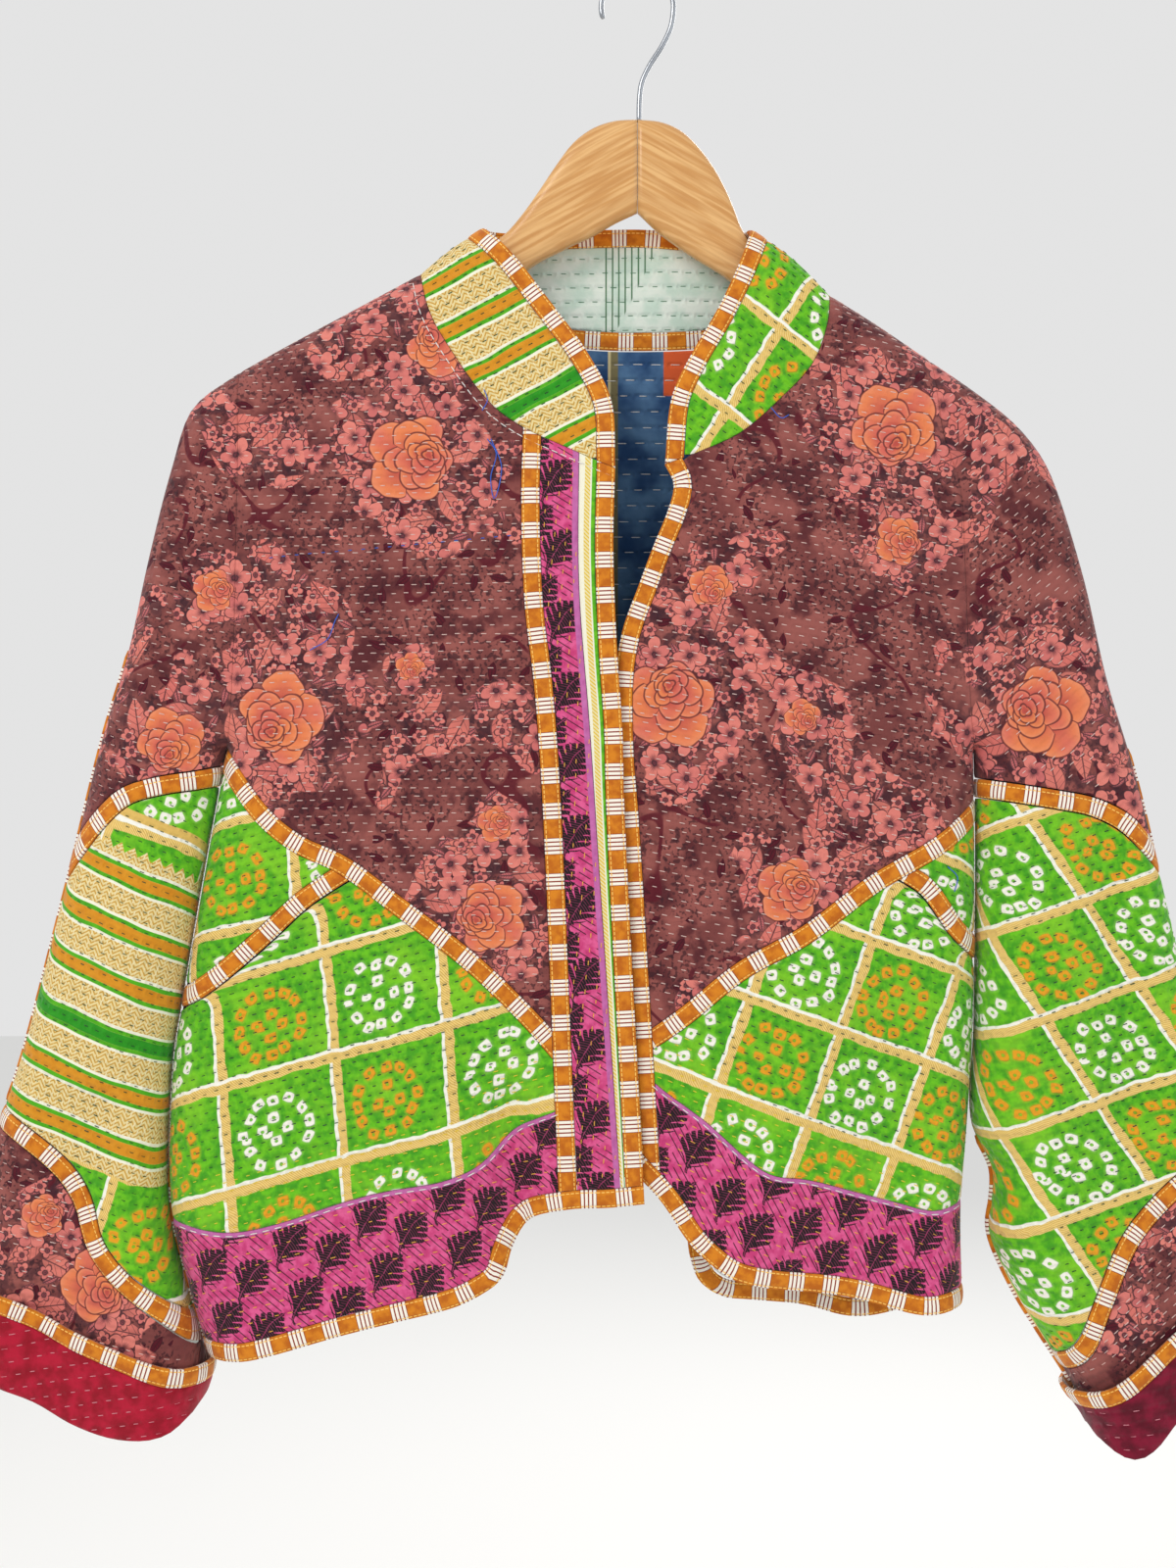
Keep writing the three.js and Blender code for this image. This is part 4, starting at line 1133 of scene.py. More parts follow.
# Woven stripes, with chevrons in the widest one
def stripeColour(finish, place, laid):
    place = warped(finish, place, 30, 3) - laid["origin"]
    angle = math.radians(laid["rows"])
    along = place.dot((math.cos(angle), math.sin(angle), 0))
    across = place.dot((-math.sin(angle), math.cos(angle), 0))
    stripe = (across / laid["repeat"]).floor()
    z = across - stripe * laid["repeat"]
    chevron = abs(along / 7.0 % 1 - 0.5) * 7.0
    lines = ((z + chevron) / 2.6 % 1).rise(0.3, 0.55)
    split = band(abs(centred(along, 7.0)), 1.6, 0.3, 0.15) * finish.noise(place, 2.5, 1.0).rise(0.4, 0.6)
    ochre = finish.blend(tint(188, 140, 52), tint(214, 168, 78), finish.noise(place, 5, 2.0))
    colour = finish.blend(ochre, tint(230, 212, 152), lines)
    colour = finish.blend(colour, tint(236, 224, 180), split)
    green = finish.blend(tint(50, 150, 18), tint(96, 186, 26), finish.noise(place, 6, 2.0))
    orange = finish.blend(tint(200, 126, 16), tint(224, 156, 38), finish.noise(place, 7, 2.0))
    wide = band(stripe, laid["wideGreen"], 0.5, 0.1)
    deepGreen = finish.blend(tint(28, 130, 20), tint(50, 160, 30), finish.noise(place, 6))
    orange = finish.blend(orange, deepGreen, wide)
    white = tint(240, 238, 216)
    for start, end, shade in (
        (14.0, 15.6, white), (15.6, 17.8, green), (17.8, 24.3, orange), (24.3, 26.5, green),
        (26.5, 28.2, white),
    ):
        colour = finish.blend(colour, shade, band(z, (start + end) / 2, (end - start) / 2, 0.15))
    return colour, across, along


# Printed cloth with black comb-edged leaves over broken diagonal lines
def leafColour(finish, place, laid):
    offset = place - laid["origin"]
    pinks = finish.mottled(place, (196, 58, 116), (222, 92, 146), 5)
    offset = finish.turned(offset, -laid["degrees"])
    x, z, _ = offset.parts()
    black = tint(24, 18, 22)
    lean = math.radians(laid["hatch"])
    hatch = centred(place.dot((math.sin(lean), math.cos(lean), 0)), 3.4)
    broken = finish.noise(place, 8, 1.0).rise(0.40, 0.46)
    colour = finish.blend(pinks, black, band(hatch, 0, 0.3, 0.12) * broken * 0.9)
    width, height = laid["cell"]
    for shiftX, shiftZ in ((0, 0), laid["second"]):
        leaf = finish.vector(centred(x - shiftX, width), centred(z - shiftZ, height))
        leaf = warped(finish, finish.turned(leaf, laid["degrees"] + 36), 12, 2.0)
        across, along, _ = leaf.parts()
        across = across - along * along * 0.012
        outline = (1 - ((along - 1) / 12.5) * ((along - 1) / 12.5)).most(0) * (10.6 - along * 0.12)
        share = abs(across) / outline.most(0.1)
        lobe = abs(centred(along - abs(across) * 0.85, 4.4)) + share * share * 0.95
        body = (1 - lobe.rise(1.98, 2.14)) * (1 - share.rise(0.96, 1.0))
        core = 1 - (abs(across) + abs(along) * 0.3).rise(4.2, 4.6)
        curl = finish.vector(along + 13, across - 2.4).length()
        hook = band(curl, 2.6, 0.8, 0.2) * (1 - across.rise(2.2, 3.0))
        stem = hook + band(across, 0, 0.8, 0.2) * band(along, -10, 4)
        vein = band(abs(across), 0, 0.25, 0.12) * 0.45
        thread = band(centred(along + abs(across) * 0.4, 1.5), 0, 0.16, 0.1) * 0.3
        colour = finish.blend(colour, black, body.most(core).most(stem.least(1)) * (1 - vein.most(thread)))
    fromLine = finish.node("ShaderNodeAttribute", {"attribute_name": "fromLine"}, {}, "Fac")
    selvedge = finish.blend(tint(178, 84, 150), tint(204, 118, 178), finish.noise(place, 4, 2.0))
    return finish.blend(colour, selvedge, 1 - fromLine.rise(laid["selvedge"] - 0.3, laid["selvedge"] + 0.3))


# Large roses by x, z, radius and turn
roses = [
    (-124, -279, 25, 20), (-202, -424, 25, 160), (-112, -212, 18, 250), (-78, -482, 10, 0),
    (-84, -533, 20, 200), (-126, -396, 8, 80), (-236, -352, 12, 10), (18, -413, 25, 300),
    (40, -352, 12, 90), (143, -262, 25, 120), (147, -325, 14, 30), (91, -424, 10, 60),
    (85, -519, 18, 10), (224, -419, 26, 220), (-262, -438, 19, 130), (-300, -740, 20, 60),
    (-330, -700, 12, 0), (322, -700, 18, 90),
]
# Rings of petals from the outside in
petalRings = [
    {"size": 1.0, "count": 5, "start": 0.2, "heart": 0.0},
    {"size": 0.80, "count": 5, "start": 0.7, "heart": 0.05},
    {"size": 0.60, "count": 4, "start": 0.1, "heart": 0.14},
    {"size": 0.42, "count": 4, "start": 0.6, "heart": 0.22},
    {"size": 0.27, "count": 3, "start": 0.3, "heart": 0.28},
    {"size": 0.13, "count": 3, "start": 0.8, "heart": 0.30},
]


def polar(finish, offset):
    x, z, _ = offset.parts()
    return finish.bearing(z, x), offset.length()


def roseDrawn(finish, colour, offset, radius):
    offset = warped(finish, offset / radius, 0.7, 0.2) * (1, 1, 0)
    ink = tint(92, 34, 40)
    warmth = finish.noise(offset, 1.1, 1.0).rise(0.35, 0.65)
    tone = finish.blend(tint(212, 104, 90), tint(228, 128, 80), warmth)
    for ring in petalRings:
        size, count, heart = ring["size"], ring["count"], ring["heart"]
        turn, reach = polar(finish, offset - (heart * 0.8, heart * 0.6, 0))
        petal = turn * (count / (2 * math.pi)) + ring["start"]
        chance = finish.hashed(finish.vector(petal.floor() % count, count + size))
        middle = petal % 1 - 0.5
        edge = (chance * 0.3 + 0.84) * (1 - middle * middle * 1.1) * size
        inside = 1 - (reach - edge).rise(-0.012, 0.012)
        deep = finish.blend(tint(186, 78, 68), tone, (reach / edge).rise(0.35, 0.85))
        shade = finish.blend(deep, tint(238, 158, 122), (reach / edge).rise(0.8, 1.0) * 0.35)
        colour = finish.blend(colour, shade, inside)
        split = abs(middle).rise(0.480, 0.494) * inside * (reach / edge).rise(0.55, 0.62)
        colour = finish.blend(colour, ink, band(reach, edge, 0.02, 0.01).most(split) * 0.85)
    return colour


# Printed cloth: dusky ground with specks and branches, and round its roses clusters of blossoms and leaves
def floralColour(finish, place):
    def scattered(size, spread):
        inputs = {"Vector": place, "Scale": 1 / size, "Randomness": spread}
        texture = finish.made("ShaderNodeTexVoronoi", {"voronoi_dimensions": "2D"}, inputs)
        offset = place - Wire(finish, texture.outputs["Position"])
        return offset * (1, 1, 0), Wire(finish, texture.outputs["Color"])

    def spun(offset, chance):
        first, second, third = chance.parts()
        return finish.spun(offset, first * 6.28), second, third

    # The nearest rose: scattered ones on the back, and those of the table
    offset, chance = scattered(118, 0.7)
    away = (place.parts()[0] - 1000).below(0)
    radius = 26 - away * 14
    nearest = offset.length() / 26 + away * 100
    for x, z, size, degrees in roses:
        other = place - (x, z, 0)
        reach = other.length() / size
        closer = reach.below(nearest)
        offset = finish.choose(offset, finish.turned(other, degrees), closer)
        radius = radius * (1 - closer) + closer * size
        nearest = reach.least(nearest)
    loose = finish.noise(place, 75, 1.0).rise(0.56, 0.62) * 0.9
    cluster = (1 - (nearest + (finish.noise(place, 22, 1.0) - 0.5) * 2.2).rise(1.5, 2.3)).most(loose)

    ground = finish.mottled(place, (118, 60, 58), (150, 84, 78), 26, 0.35, 0.65)
    dusk = finish.noise(place, 20, 5.0).rise(0.52, 0.66)
    colour = finish.blend(ground, tint(78, 26, 34), dusk * 0.85)
    for size, level in ((2.2, 0.60), (4.5, 0.62)):
        speck = finish.noise(place, size, 1.0).rise(level, level + 0.05)
        speck = speck * finish.noise(place, 24, 1.0).rise(0.36, 0.5)
        colour = finish.blend(colour, tint(58, 24, 32), speck * 0.75)
    branch = band(finish.noise(place, 64, 1.0), 0.5, 0.013, 0.004)
    branch = branch * finish.noise(place, 40, 0.0).rise(0.47, 0.53)
    colour = finish.blend(colour, tint(88, 12, 30), branch * 0.9)
    twigs = cluster * finish.noise(place, 7, 2.0).rise(0.42, 0.6) * 0.75
    colour = finish.blend(colour, tint(60, 30, 40), twigs)

    # Small dark leaves, then pink leaves with veins
    for size, length, width, shade, ink, shown in (
        (17, 5.6, 2.3, tint(88, 10, 30), tint(60, 10, 24), finish.noise(place, 30, 1.0).rise(0.50, 0.54)),
        (13, 5.2, 2.2, tint(196, 104, 104), tint(52, 34, 44), cluster),
        (27, 12.0, 6.2, tint(206, 108, 100), tint(52, 34, 44), cluster),
    ):
        spot, chance = scattered(size, 0.85)
        leaf, second, third = spun(spot, chance)
        x, z, _ = leaf.parts()
        tip = (x / length + 1) * 0.5
        profile = (tip * (1 - tip)).most(0) * (1.35 - tip * 0.5) * (width * 3.6)
        share = abs(z) / profile.most(0.05)
        body = (1 - share.rise(0.97, 1.03)) * shown.rise(0.35, 0.55)
        sideVeins = band(centred(x - abs(z) * 0.8, width * 0.62), 0, 0.2, 0.14) * 0.75
        veins = band(z, 0, 0.35, 0.15).most(sideVeins)
        tone = finish.blend(shade, tint(228, 136, 118), third * 0.5) if width > 3 else shade
        tone = finish.blend(tone, ink, (1 - tip.rise(0.0, 0.5)) * 0.3)
        colour = finish.blend(colour, tone, body)
        inked = veins.most(share.rise(1 - 1.0 / width, 1 - 0.3 / width))
        colour = finish.blend(colour, ink, body * inked * 0.85)

    # Round blossoms, small ones and large
    for size, bloomRadius, level in ((11.5, 5.0, 0.3), (23, 10.6, 0.55)):
        spot, chance = scattered(size, 0.6)
        bloom, second, third = spun(spot, chance)
        turn, reach = polar(finish, warped(finish, bloom, bloomRadius * 0.8, bloomRadius * 0.22) * (1, 1, 0))
        petal = turn * (5 / (2 * math.pi))
        unequal = finish.hashed(finish.vector(petal.floor() % 5, second * 50))
        middle = petal % 1 - 0.5
        edge = (unequal * 0.3 + 0.72) * (1 - middle * middle * 1.7) * bloomRadius
        shown = cluster.rise(level, level + 0.15) * (third - 0.2).below(0.62)
        inside = (1 - (reach - edge).rise(-0.15, 0.15)) * shown
        share = reach / edge
        rose = finish.blend(tint(198, 104, 102), tint(222, 128, 116), unequal)
        petalTone = finish.blend(tint(104, 48, 58), rose, share.rise(0.05, 0.6))
        streak = band(centred(turn, 2 * math.pi / 25), 0, 0.03, 0.03) * (1 - share.rise(0.3, 0.6)) * 0.7
        split = abs(middle).rise(0.47, 0.49) * 0.9
        rim = band(reach, edge, 0.4, 0.2)
        ink = rim.most(split).most(streak).most(band(reach, 1.3, 0.35, 0.2))
        colour = finish.blend(colour, petalTone, inside)
        colour = finish.blend(colour, tint(54, 30, 40), ink * inside.most(rim * shown) * 0.85)
    return roseDrawn(finish, colour, offset, radius.most(5))


def sewnFinish(name, colour, relief, roughness=0.86):
    finish = Finish(name)
    place = finish.places()
    made = colour(finish, place)
    height = relief(finish, place) if callable(relief) else puckered(finish, place, relief)
    if isinstance(made, tuple) and isinstance(made[0], Wire):
        made, extra = made
        height = height + extra
    return finish.wear(made, height, roughness)


def lattice(origin, rows, columns, cellSize, phase=0):
    return {"origin": (*origin, 0), "rows": rows, "columns": columns, "cell": cellSize, "phase": phase}


lattices = {
    "frontRight": lattice((-172, -615), 16, 95, (65, 57.5)),
    "facingRight": lattice((-255, -552), 12, 95, (64, 61), 1),
    "frontLeft": lattice((38, -630), -20, 70, (53.7, 53.7), 1),
    "sleeveRight": lattice((-238, -504), -20, 72, (64, 61), 1),
    "sleeveLeft": lattice((254, -641), 18.4, 124, (56.7, 54.1)),
    "collarLeft": lattice((75, -205), -38, 57, (62, 56)),
}
stripes = {
    "collarRight": {"origin": (-110, -169, 0), "rows": 28, "repeat": 28.2, "wideGreen": -4},
    "sleeveRight": {"origin": (-293, -469, 0), "rows": -23, "repeat": 28.2, "wideGreen": -5},
}
leaves = {
    "hem_band_right": {
        "origin": (-194, -714, 0), "degrees": 17.5, "cell": (47, 30.4), "second": (21, -12), "hatch": 38,
        "selvedge": 2.7,
    },
    "hem_band_left": {
        "origin": (16, -642, 0), "degrees": -21, "cell": (46, 30.4), "second": (21, -12), "hatch": 62,
        "selvedge": 2.7,
    },
    "placket_pink": {
        "origin": (-35, -487, 0), "degrees": 3.5, "cell": (60, 39.5), "second": (-12, 15), "hatch": 32,
        "selvedge": 3.4,
    },
}


def latticeFinish(name, key, sewn):
    return sewnFinish(name, lambda finish, place: latticeColour(finish, place, lattices[key]), sewn)


def stripedFinish(name, key):
    def colour(finish, place):
        striped, across, along = stripeColour(finish, place, stripes[key])
        if key == "collarRight":
            return striped
        # The lattice shows above a border with a row of teeth, and again below the stripes
        plain, _ = latticeColour(finish, place, lattices["sleeveRight"])
        tooth = abs(centred(along, 7.5)) * 1.3
        teeth = (across + 19 + tooth).rise(-0.3, 0.3).most(1 - across.rise(-192, -191))
        border = finish.blend(plain, tint(244, 242, 230), band(across, -5.6, 1.0))
        border = finish.blend(border, tint(222, 184, 98), band(across, -2.2, 2.6))
        return finish.blend(striped, border, teeth)
    return sewnFinish(name, colour, key)


def leafFinish(node, sewn):
    return sewnFinish(f"{node}_leaves", lambda finish, place: leafColour(finish, place, leaves[node]), sewn)


def floralFinish(name, sewn):
    return sewnFinish(name, floralColour, sewn)


def mottledFinish(name, sewn, dark, light, size=9):
    def colour(finish, place):
        return finish.mottled(place, dark, light, size)
    return sewnFinish(name, colour, sewn)


def mintFinish():
    def colour(finish, place):
        x, z, _ = place.parts()
        ground = finish.mottled(place, (200, 222, 208), (226, 236, 226), 12)
        lines = band(centred(x, 3.8), 0, 0.45, 0.2)
        # The lined part narrows downward
        start = 1987 + (-150 - z).most(0) * 0.5
        spread = (x - start).rise(-0.5, 0.5) * (1 - x.rise(2018, 2019))
        return finish.blend(ground, tint(86, 124, 92), lines * spread)
    return sewnFinish("mintCloth", colour, "mint")


# The inside of the back: blue, with a seam down its middle and a pale strip at the hem
def insideFinish():
    def colour(finish, place):
        x, z, _ = place.parts()
        blue = finish.mottled(place, (34, 70, 116), (92, 132, 172), 26, 0.3, 0.72)
        patched = (1 - x.rise(1984, 1984.6)) * x.rise(1940, 1941) * z.rise(-236, -235)
        made = finish.blend(blue, tint(222, 96, 50), patched)
        made = finish.blend(made, tint(222, 226, 222), 1 - z.rise(-640, -639))
        made = finish.blend(made, tint(126, 118, 84), band(x, 2013, 2.4))
        return finish.blend(made, tint(206, 192, 146), band(x, 2015.8, 0.8))
    return sewnFinish("insideCloth", colour, "inside")


# The strip beside the placket's front binding: pale hatched lines, then green
def ribbonFinish():
    def colour(finish, place):
        along, across, _ = place.parts()
        green = finish.mottled(place, (74, 162, 26), (108, 194, 28), 5)
        hatch = centred(along + across, 2.2)
        cream = finish.blend(tint(232, 222, 170), tint(222, 186, 60), band(hatch, 0, 0.5, 0.2))
        made = finish.blend(green, tint(238, 236, 214), 1 - across.rise(4.4, 4.8))
        made = finish.blend(made, cream, 1 - across.rise(3.6, 3.9))
        return finish.blend(made, tint(238, 236, 214), 1 - across.rise(0.5, 0.8))
    return sewnFinish("ribbonCloth", colour, lambda finish, place: finish.noise(place, 1.1, 1.0) * 0.2)


# The binding: rust orange with groups of four pale bars, and a line of topstitch near each edge
def bindingFinish():
    repeat = 19.5

    def colour(finish, place):
        along, across, _ = place.parts()
        along = along % repeat
        rust = finish.mottled(place, (186, 98, 8), (216, 130, 22), 6)
        bar = abs((along - 10.2) / 2.32 % 1 - 0.5)
        bars = finish.blend(tint(246, 240, 226), tint(140, 44, 22), bar.rise(0.31, 0.36))
        made = finish.blend(rust, bars, (along - 10.2).rise(-0.1, 0.1))
        fromEdge = 5 - abs(across - 5)
        topstitch = band(fromEdge, 1.2, 0.3, 0.12)
        dashes = (along / 2.6 % 1).below(0.68)
        return finish.blend(made, tint(250, 196, 96), topstitch * dashes)

    def relief(finish, place):
        along, across, _ = place.parts()
        fromEdge = 5 - abs(across - 5)
        return finish.noise(place, 0.9, 1.0) * 0.1 + abs(fromEdge - 1.2).rise(0, 1.1) * 0.3
    return sewnFinish("stripedBinding", colour, relief, 0.75)


binding = bindingFinish()
crimson = mottledFinish("crimsonCloth", "cuffs", (146, 6, 32), (180, 18, 50))
burgundy = mottledFinish("burgundyCloth", "cuffs", (88, 4, 28), (128, 12, 46))
inside = insideFinish()
mint = mintFinish()
worn = {
    "yoke_right_front": floralFinish("floralRight", "yokeRight"),
    "yoke_left_front": floralFinish("floralLeft", "yokeLeft"),
    "back": floralFinish("floralBack", "back"),
    "pocket_facing_right": latticeFinish("tieDyeFacing", "facingRight", "frontRight"),
    "lower_front_right": latticeFinish("tieDyeRight", "frontRight", "frontRight"),
    "lower_front_left": latticeFinish("tieDyeLeft", "frontLeft", "frontLeft"),
    "placket_green": ribbonFinish(),
    "collar_right": stripedFinish("chevronCollar", "collarRight"),
    "collar_left": latticeFinish("tieDyeCollar", "collarLeft", "collarLeft"),
    "collar_back": mint,
    "sleeve_upper_right": floralFinish("floralSleeveRight", "sleeveTopRight"),
    "sleeve_upper_left": floralFinish("floralSleeveLeft", "sleeveTopLeft"),
    "sleeve_middle_right": stripedFinish("chevronSleeve", "sleeveRight"),
    "sleeve_middle_left": latticeFinish("tieDyeSleeve", "sleeveLeft", "sleeveLeft"),
    "cuff_right": crimson,
    "cuff_left": burgundy,
}
worn["pocket_facing_left"] = worn["lower_front_left"]
for side in ("right", "left"):
    worn[f"sleeve_lower_{side}"] = worn[f"sleeve_upper_{side}"]
for node, sewing, line in (
    ("hem_band_right", "band", right["bandTop"]), ("hem_band_left", "bandLeft", left["bandTop"]),
    ("placket_pink", "placket", right["placketSplit"]),
):
    worn[node] = leafFinish(node, sewing)
    mesh = bpy.data.objects[f"{node}_cloth"].data
    points = np.array([vertex.co for vertex in mesh.vertices]) / metre
    distance = mesh.attributes.new("fromLine", "FLOAT", "POINT")
    distance.data.foreach_set("value", abs(line.distance(points[:, [0, 2]])))
for name in surfaces:
    node = name.removesuffix("_cloth")
    mesh = bpy.data.objects[name].data
    mesh.materials.append(worn.get(node, binding))
    lining = inside if node in worn else binding
    mesh.materials.append(mint if node == "collar_back" else lining)
print("cloth dressed")


# Threads, as small beads that dip into the cloth at both ends
threadSize = {"half": 0.31, "height": 0.42, "sunk": 0.25}
threadInset = 0.9
threadLift = 0.2
threadColours = {
    "pale": (226, 196, 188), "darkGreen": (14, 66, 24), "yellow": (236, 206, 40), "blue": (40, 92, 196),
    "white": (244, 242, 238), "orange": (240, 178, 60), "rose": (214, 138, 150), "mintGreen": (96, 140, 110),
}


def threadFinish(name):
    finish = Finish(f"{name}Thread")
    return finish.wear((*tint(*threadColours[name]), 1), None, 0.7, 0.2)


threads = {name: threadFinish(name) for name in threadColours}


def link(name, mesh, slot, *materials):
    piece = placed(name, mesh)
    for material in materials:
        mesh.materials.append(material)
    mesh.polygons.foreach_set("use_smooth", np.ones(len(mesh.polygons), bool))
    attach(piece, "root")
    return piece


# One mesh of beads from start to end points, each with the way out of the cloth
def addBeads(name, starts, ends, outs, materials, shades=None):
    starts, ends, outs = (np.asarray(values, float) for values in (starts, ends, outs))
    run = ends - starts
    along = run / np.linalg.norm(run, axis=1)[:, None]
    side = np.cross(along, outs)
    half, height, sunk = (threadSize[key] for key in ("half", "height", "sunk"))
    low = -sunk * outs
    corners = [starts + low, ends + low]
    for share in (0.2, 0.8):
        middle = starts + run * share
        foot = middle + low * 0.3
        corners += [foot + side * half, middle + outs * height, foot - side * half]
    points = np.stack(corners, 1).reshape(-1, 3) * metre
    shape = np.array([
        (0, 3, 2), (0, 4, 3), (0, 2, 4), (1, 5, 6), (1, 6, 7), (1, 7, 5),
        (2, 3, 6), (2, 6, 5), (3, 4, 7), (3, 7, 6), (4, 2, 5), (4, 5, 7),
    ])
    faces = (np.arange(len(starts))[:, None, None] * 8 + shape[None]).reshape(-1, 3)
    mesh = bpy.data.meshes.new(name)
    mesh.from_pydata(points, [], faces.tolist())
    piece = link(name, mesh, "thread", *materials)
    if shades is not None:
        mesh.polygons.foreach_set("material_index", np.repeat(shades, len(shape)))
    return piece


backNodes = ("back", "collar_back")


# Rows of running stitch over a piece, laid in its flat cloth and carried onto its surface
def sewRows(node, key, shade, other=None, side="outer"):
    surface = surfaces[f"{node}_cloth"]
    cloth, outer = surface["cloth"], surface[side]
    if surface["ring"]:
        outer = closedRing(outer)
    rows, columns = outer.shape[:2]
    flat = [(x, z, 0) for x, z in cloth.reshape(-1, 2)]
    solid = outer.reshape(-1, 3)
    corner = (np.arange(rows - 1)[:, None] * columns + np.arange(columns - 1)).ravel()
    triangles = np.concatenate([
        np.stack([corner, corner + 1, corner + columns + 1], 1),
        np.stack([corner, corner + columns + 1, corner + columns], 1),
    ])
    tree = BVHTree.FromPolygons(flat, triangles.tolist())
    first, second, third = (solid[triangles[:, k]] for k in range(3))
    facing = np.cross(second - first, third - first)
    facing /= np.maximum(np.linalg.norm(facing, axis=1), 1e-9)[:, None]
    # All of them turn over where one on the front or back faces into the cloth
    if surface["ring"]:
        inward = facing[(rows // 2) * (columns - 1) + columns // 4][1]
    else:
        inward = facing[len(corner) // 2][1]
        inward *= -1 if side == "outer" and node in backNodes else 1
    if inward > 0:
        facing = -facing
    sewn = stitching[key]
    angle = math.radians(sewn["degrees"])
    run, over = np.array([math.cos(angle), math.sin(angle)]), np.array([-math.sin(angle), math.cos(angle)])
    alongs, acrosses = cloth.reshape(-1, 2) @ run, cloth.reshape(-1, 2) @ over
    down = Vector((0, 0, -1))

    def landed(spot):
        hit, _, index, _ = tree.ray_cast(Vector((*spot, 1)), down, 2)
        if hit is None:
            return None
        a, b, c = triangles[index]
        place = barycentric_transform(
            hit, *(Vector(flat[k]) for k in (a, b, c)), *(Vector(solid[k]) for k in (a, b, c)),
        )
        return np.array(place), facing[index]

    starts, ends, outs, shades = [], [], [], []
    lowest = math.floor(acrosses.min() / sewn["rowGap"]) - 1
    highest = math.ceil(acrosses.max() / sewn["rowGap"]) + 1
    for row in range(lowest, highest):
        first = math.floor(alongs.min() / sewn["pitch"] + row * rowShift)
        last = math.ceil(alongs.max() / sewn["pitch"] + row * rowShift)
        for count in range(first, last + 1):
            along = (count + 0.5 - row * rowShift) * sewn["pitch"] + dice.uniform(-0.4, 0.4)
            across = (row + 0.5 - waveHeight * math.sin(along / waveLength)) * sewn["rowGap"]
            across += dice.uniform(-0.25, 0.25)
            half = sewn["dash"] / 2 * dice.uniform(0.85, 1.15)
            centre = run * along + over * across
            near = landed(centre - run * (half + threadInset))
            far = landed(centre + run * (half + threadInset))
            if near is None or far is None:
                continue
            gap = np.linalg.norm(far[0] - near[0])
            if gap > 2.4 * half + 4 or gap < half:
                continue
            inset = (far[0] - near[0]) / gap * threadInset
            starts.append(near[0] + inset)
            ends.append(far[0] - inset)
            outs.append((near[1] + far[1]) / np.linalg.norm(near[1] + far[1]))
            shades.append(int(other is not None and other[1](centre)))
    materials = [threads[shade]] + ([threads[other[0]]] if other else [])
    addBeads(f"{node}_{side}_stitches", starts, ends, outs, materials, np.array(shades, int))
    return len(starts)


def nearLine(line, reach):
    return lambda place: float(line.distance(np.array([place]))[0]) < reach


stitchCount = 0
for node, key, shade, other in (
    ("yoke_right_front", "yokeRight", "pale", None),
    ("yoke_left_front", "yokeLeft", "pale", None),
    ("back", "back", "pale", None),
    ("pocket_facing_right", "frontRight", "darkGreen", None),
    ("lower_front_right", "frontRight", "darkGreen", ("yellow", nearLine(right["bandTop"], 33))),
    ("pocket_facing_left", "frontLeft", "darkGreen", None),
    ("lower_front_left", "frontLeft", "darkGreen", ("yellow", nearLine(left["bandTop"], 30))),
    ("hem_band_right", "band", "orange", None),
    ("hem_band_left", "bandLeft", "orange", None),
    ("placket_pink", "placket", "orange", None),
    ("collar_right", "collarRight", "darkGreen", None),
    ("collar_left", "collarLeft", "darkGreen", None),
    ("collar_back", "mint", "mintGreen", None),
    ("sleeve_upper_right", "sleeveTopRight", "pale", None),
    ("sleeve_upper_left", "sleeveTopLeft", "pale", None),
    ("sleeve_middle_right", "sleeveRight", "darkGreen", None),
    ("sleeve_middle_left", "sleeveLeft", "darkGreen", None),
    ("sleeve_lower_right", "sleeveTopRight", "pale", None),
    ("sleeve_lower_left", "sleeveTopLeft", "pale", None),
    ("cuff_right", "cuffs", "rose", None),
    ("cuff_left", "cuffs", "rose", None),
):
    stitchCount += sewRows(node, key, shade, other)
stitchCount += sewRows("back", "inside", "white", side="inner")
stitchCount += sewRows("collar_back", "mint", "mintGreen", side="inner")
print(f"{stitchCount} running stitches")


# A line of stitches along places of the front
def sewLine(name, line, shade, dash, pitch, tucked=False):
    places = np.arange(pitch, line.length - dash, pitch)
    clear = seamGap / 2 + threadLift
    near, out = clothPoints(line.at(places), front, bodyField, tucked, clear)
    far, _ = clothPoints(line.at(places + dash), front, bodyField, tucked, clear)
    return addBeads(name, near, far, out, [threads[shade]])


sewLine("neck_seam_stitches", right["neck"].beside(-5), "white", 4.5, 5.4)
sewLine("blue_row_stitches", Line([[-213, -335], [-66, -322]]), "blue", 2.6, 7.4)
sewLine("band_top_stitches_right", right["bandTop"].beside(-2), "white", 5.0, 7.0)
sewLine("band_top_stitches_left", left["bandTop"].beside(-2), "white", 5.0, 7.0, tucked=True)


# Faces of a closed tube: its rings of points, then its two ends
def tubeFaces(count, sides):
    faces = []
    for j in range(count - 1):
        for k in range(sides):
            after = (k + 1) % sides
            faces.append((j * sides + k, j * sides + after, (j + 1) * sides + after, (j + 1) * sides + k))
    return faces + [tuple(range(sides))[::-1], tuple(range((count - 1) * sides, count * sides))]


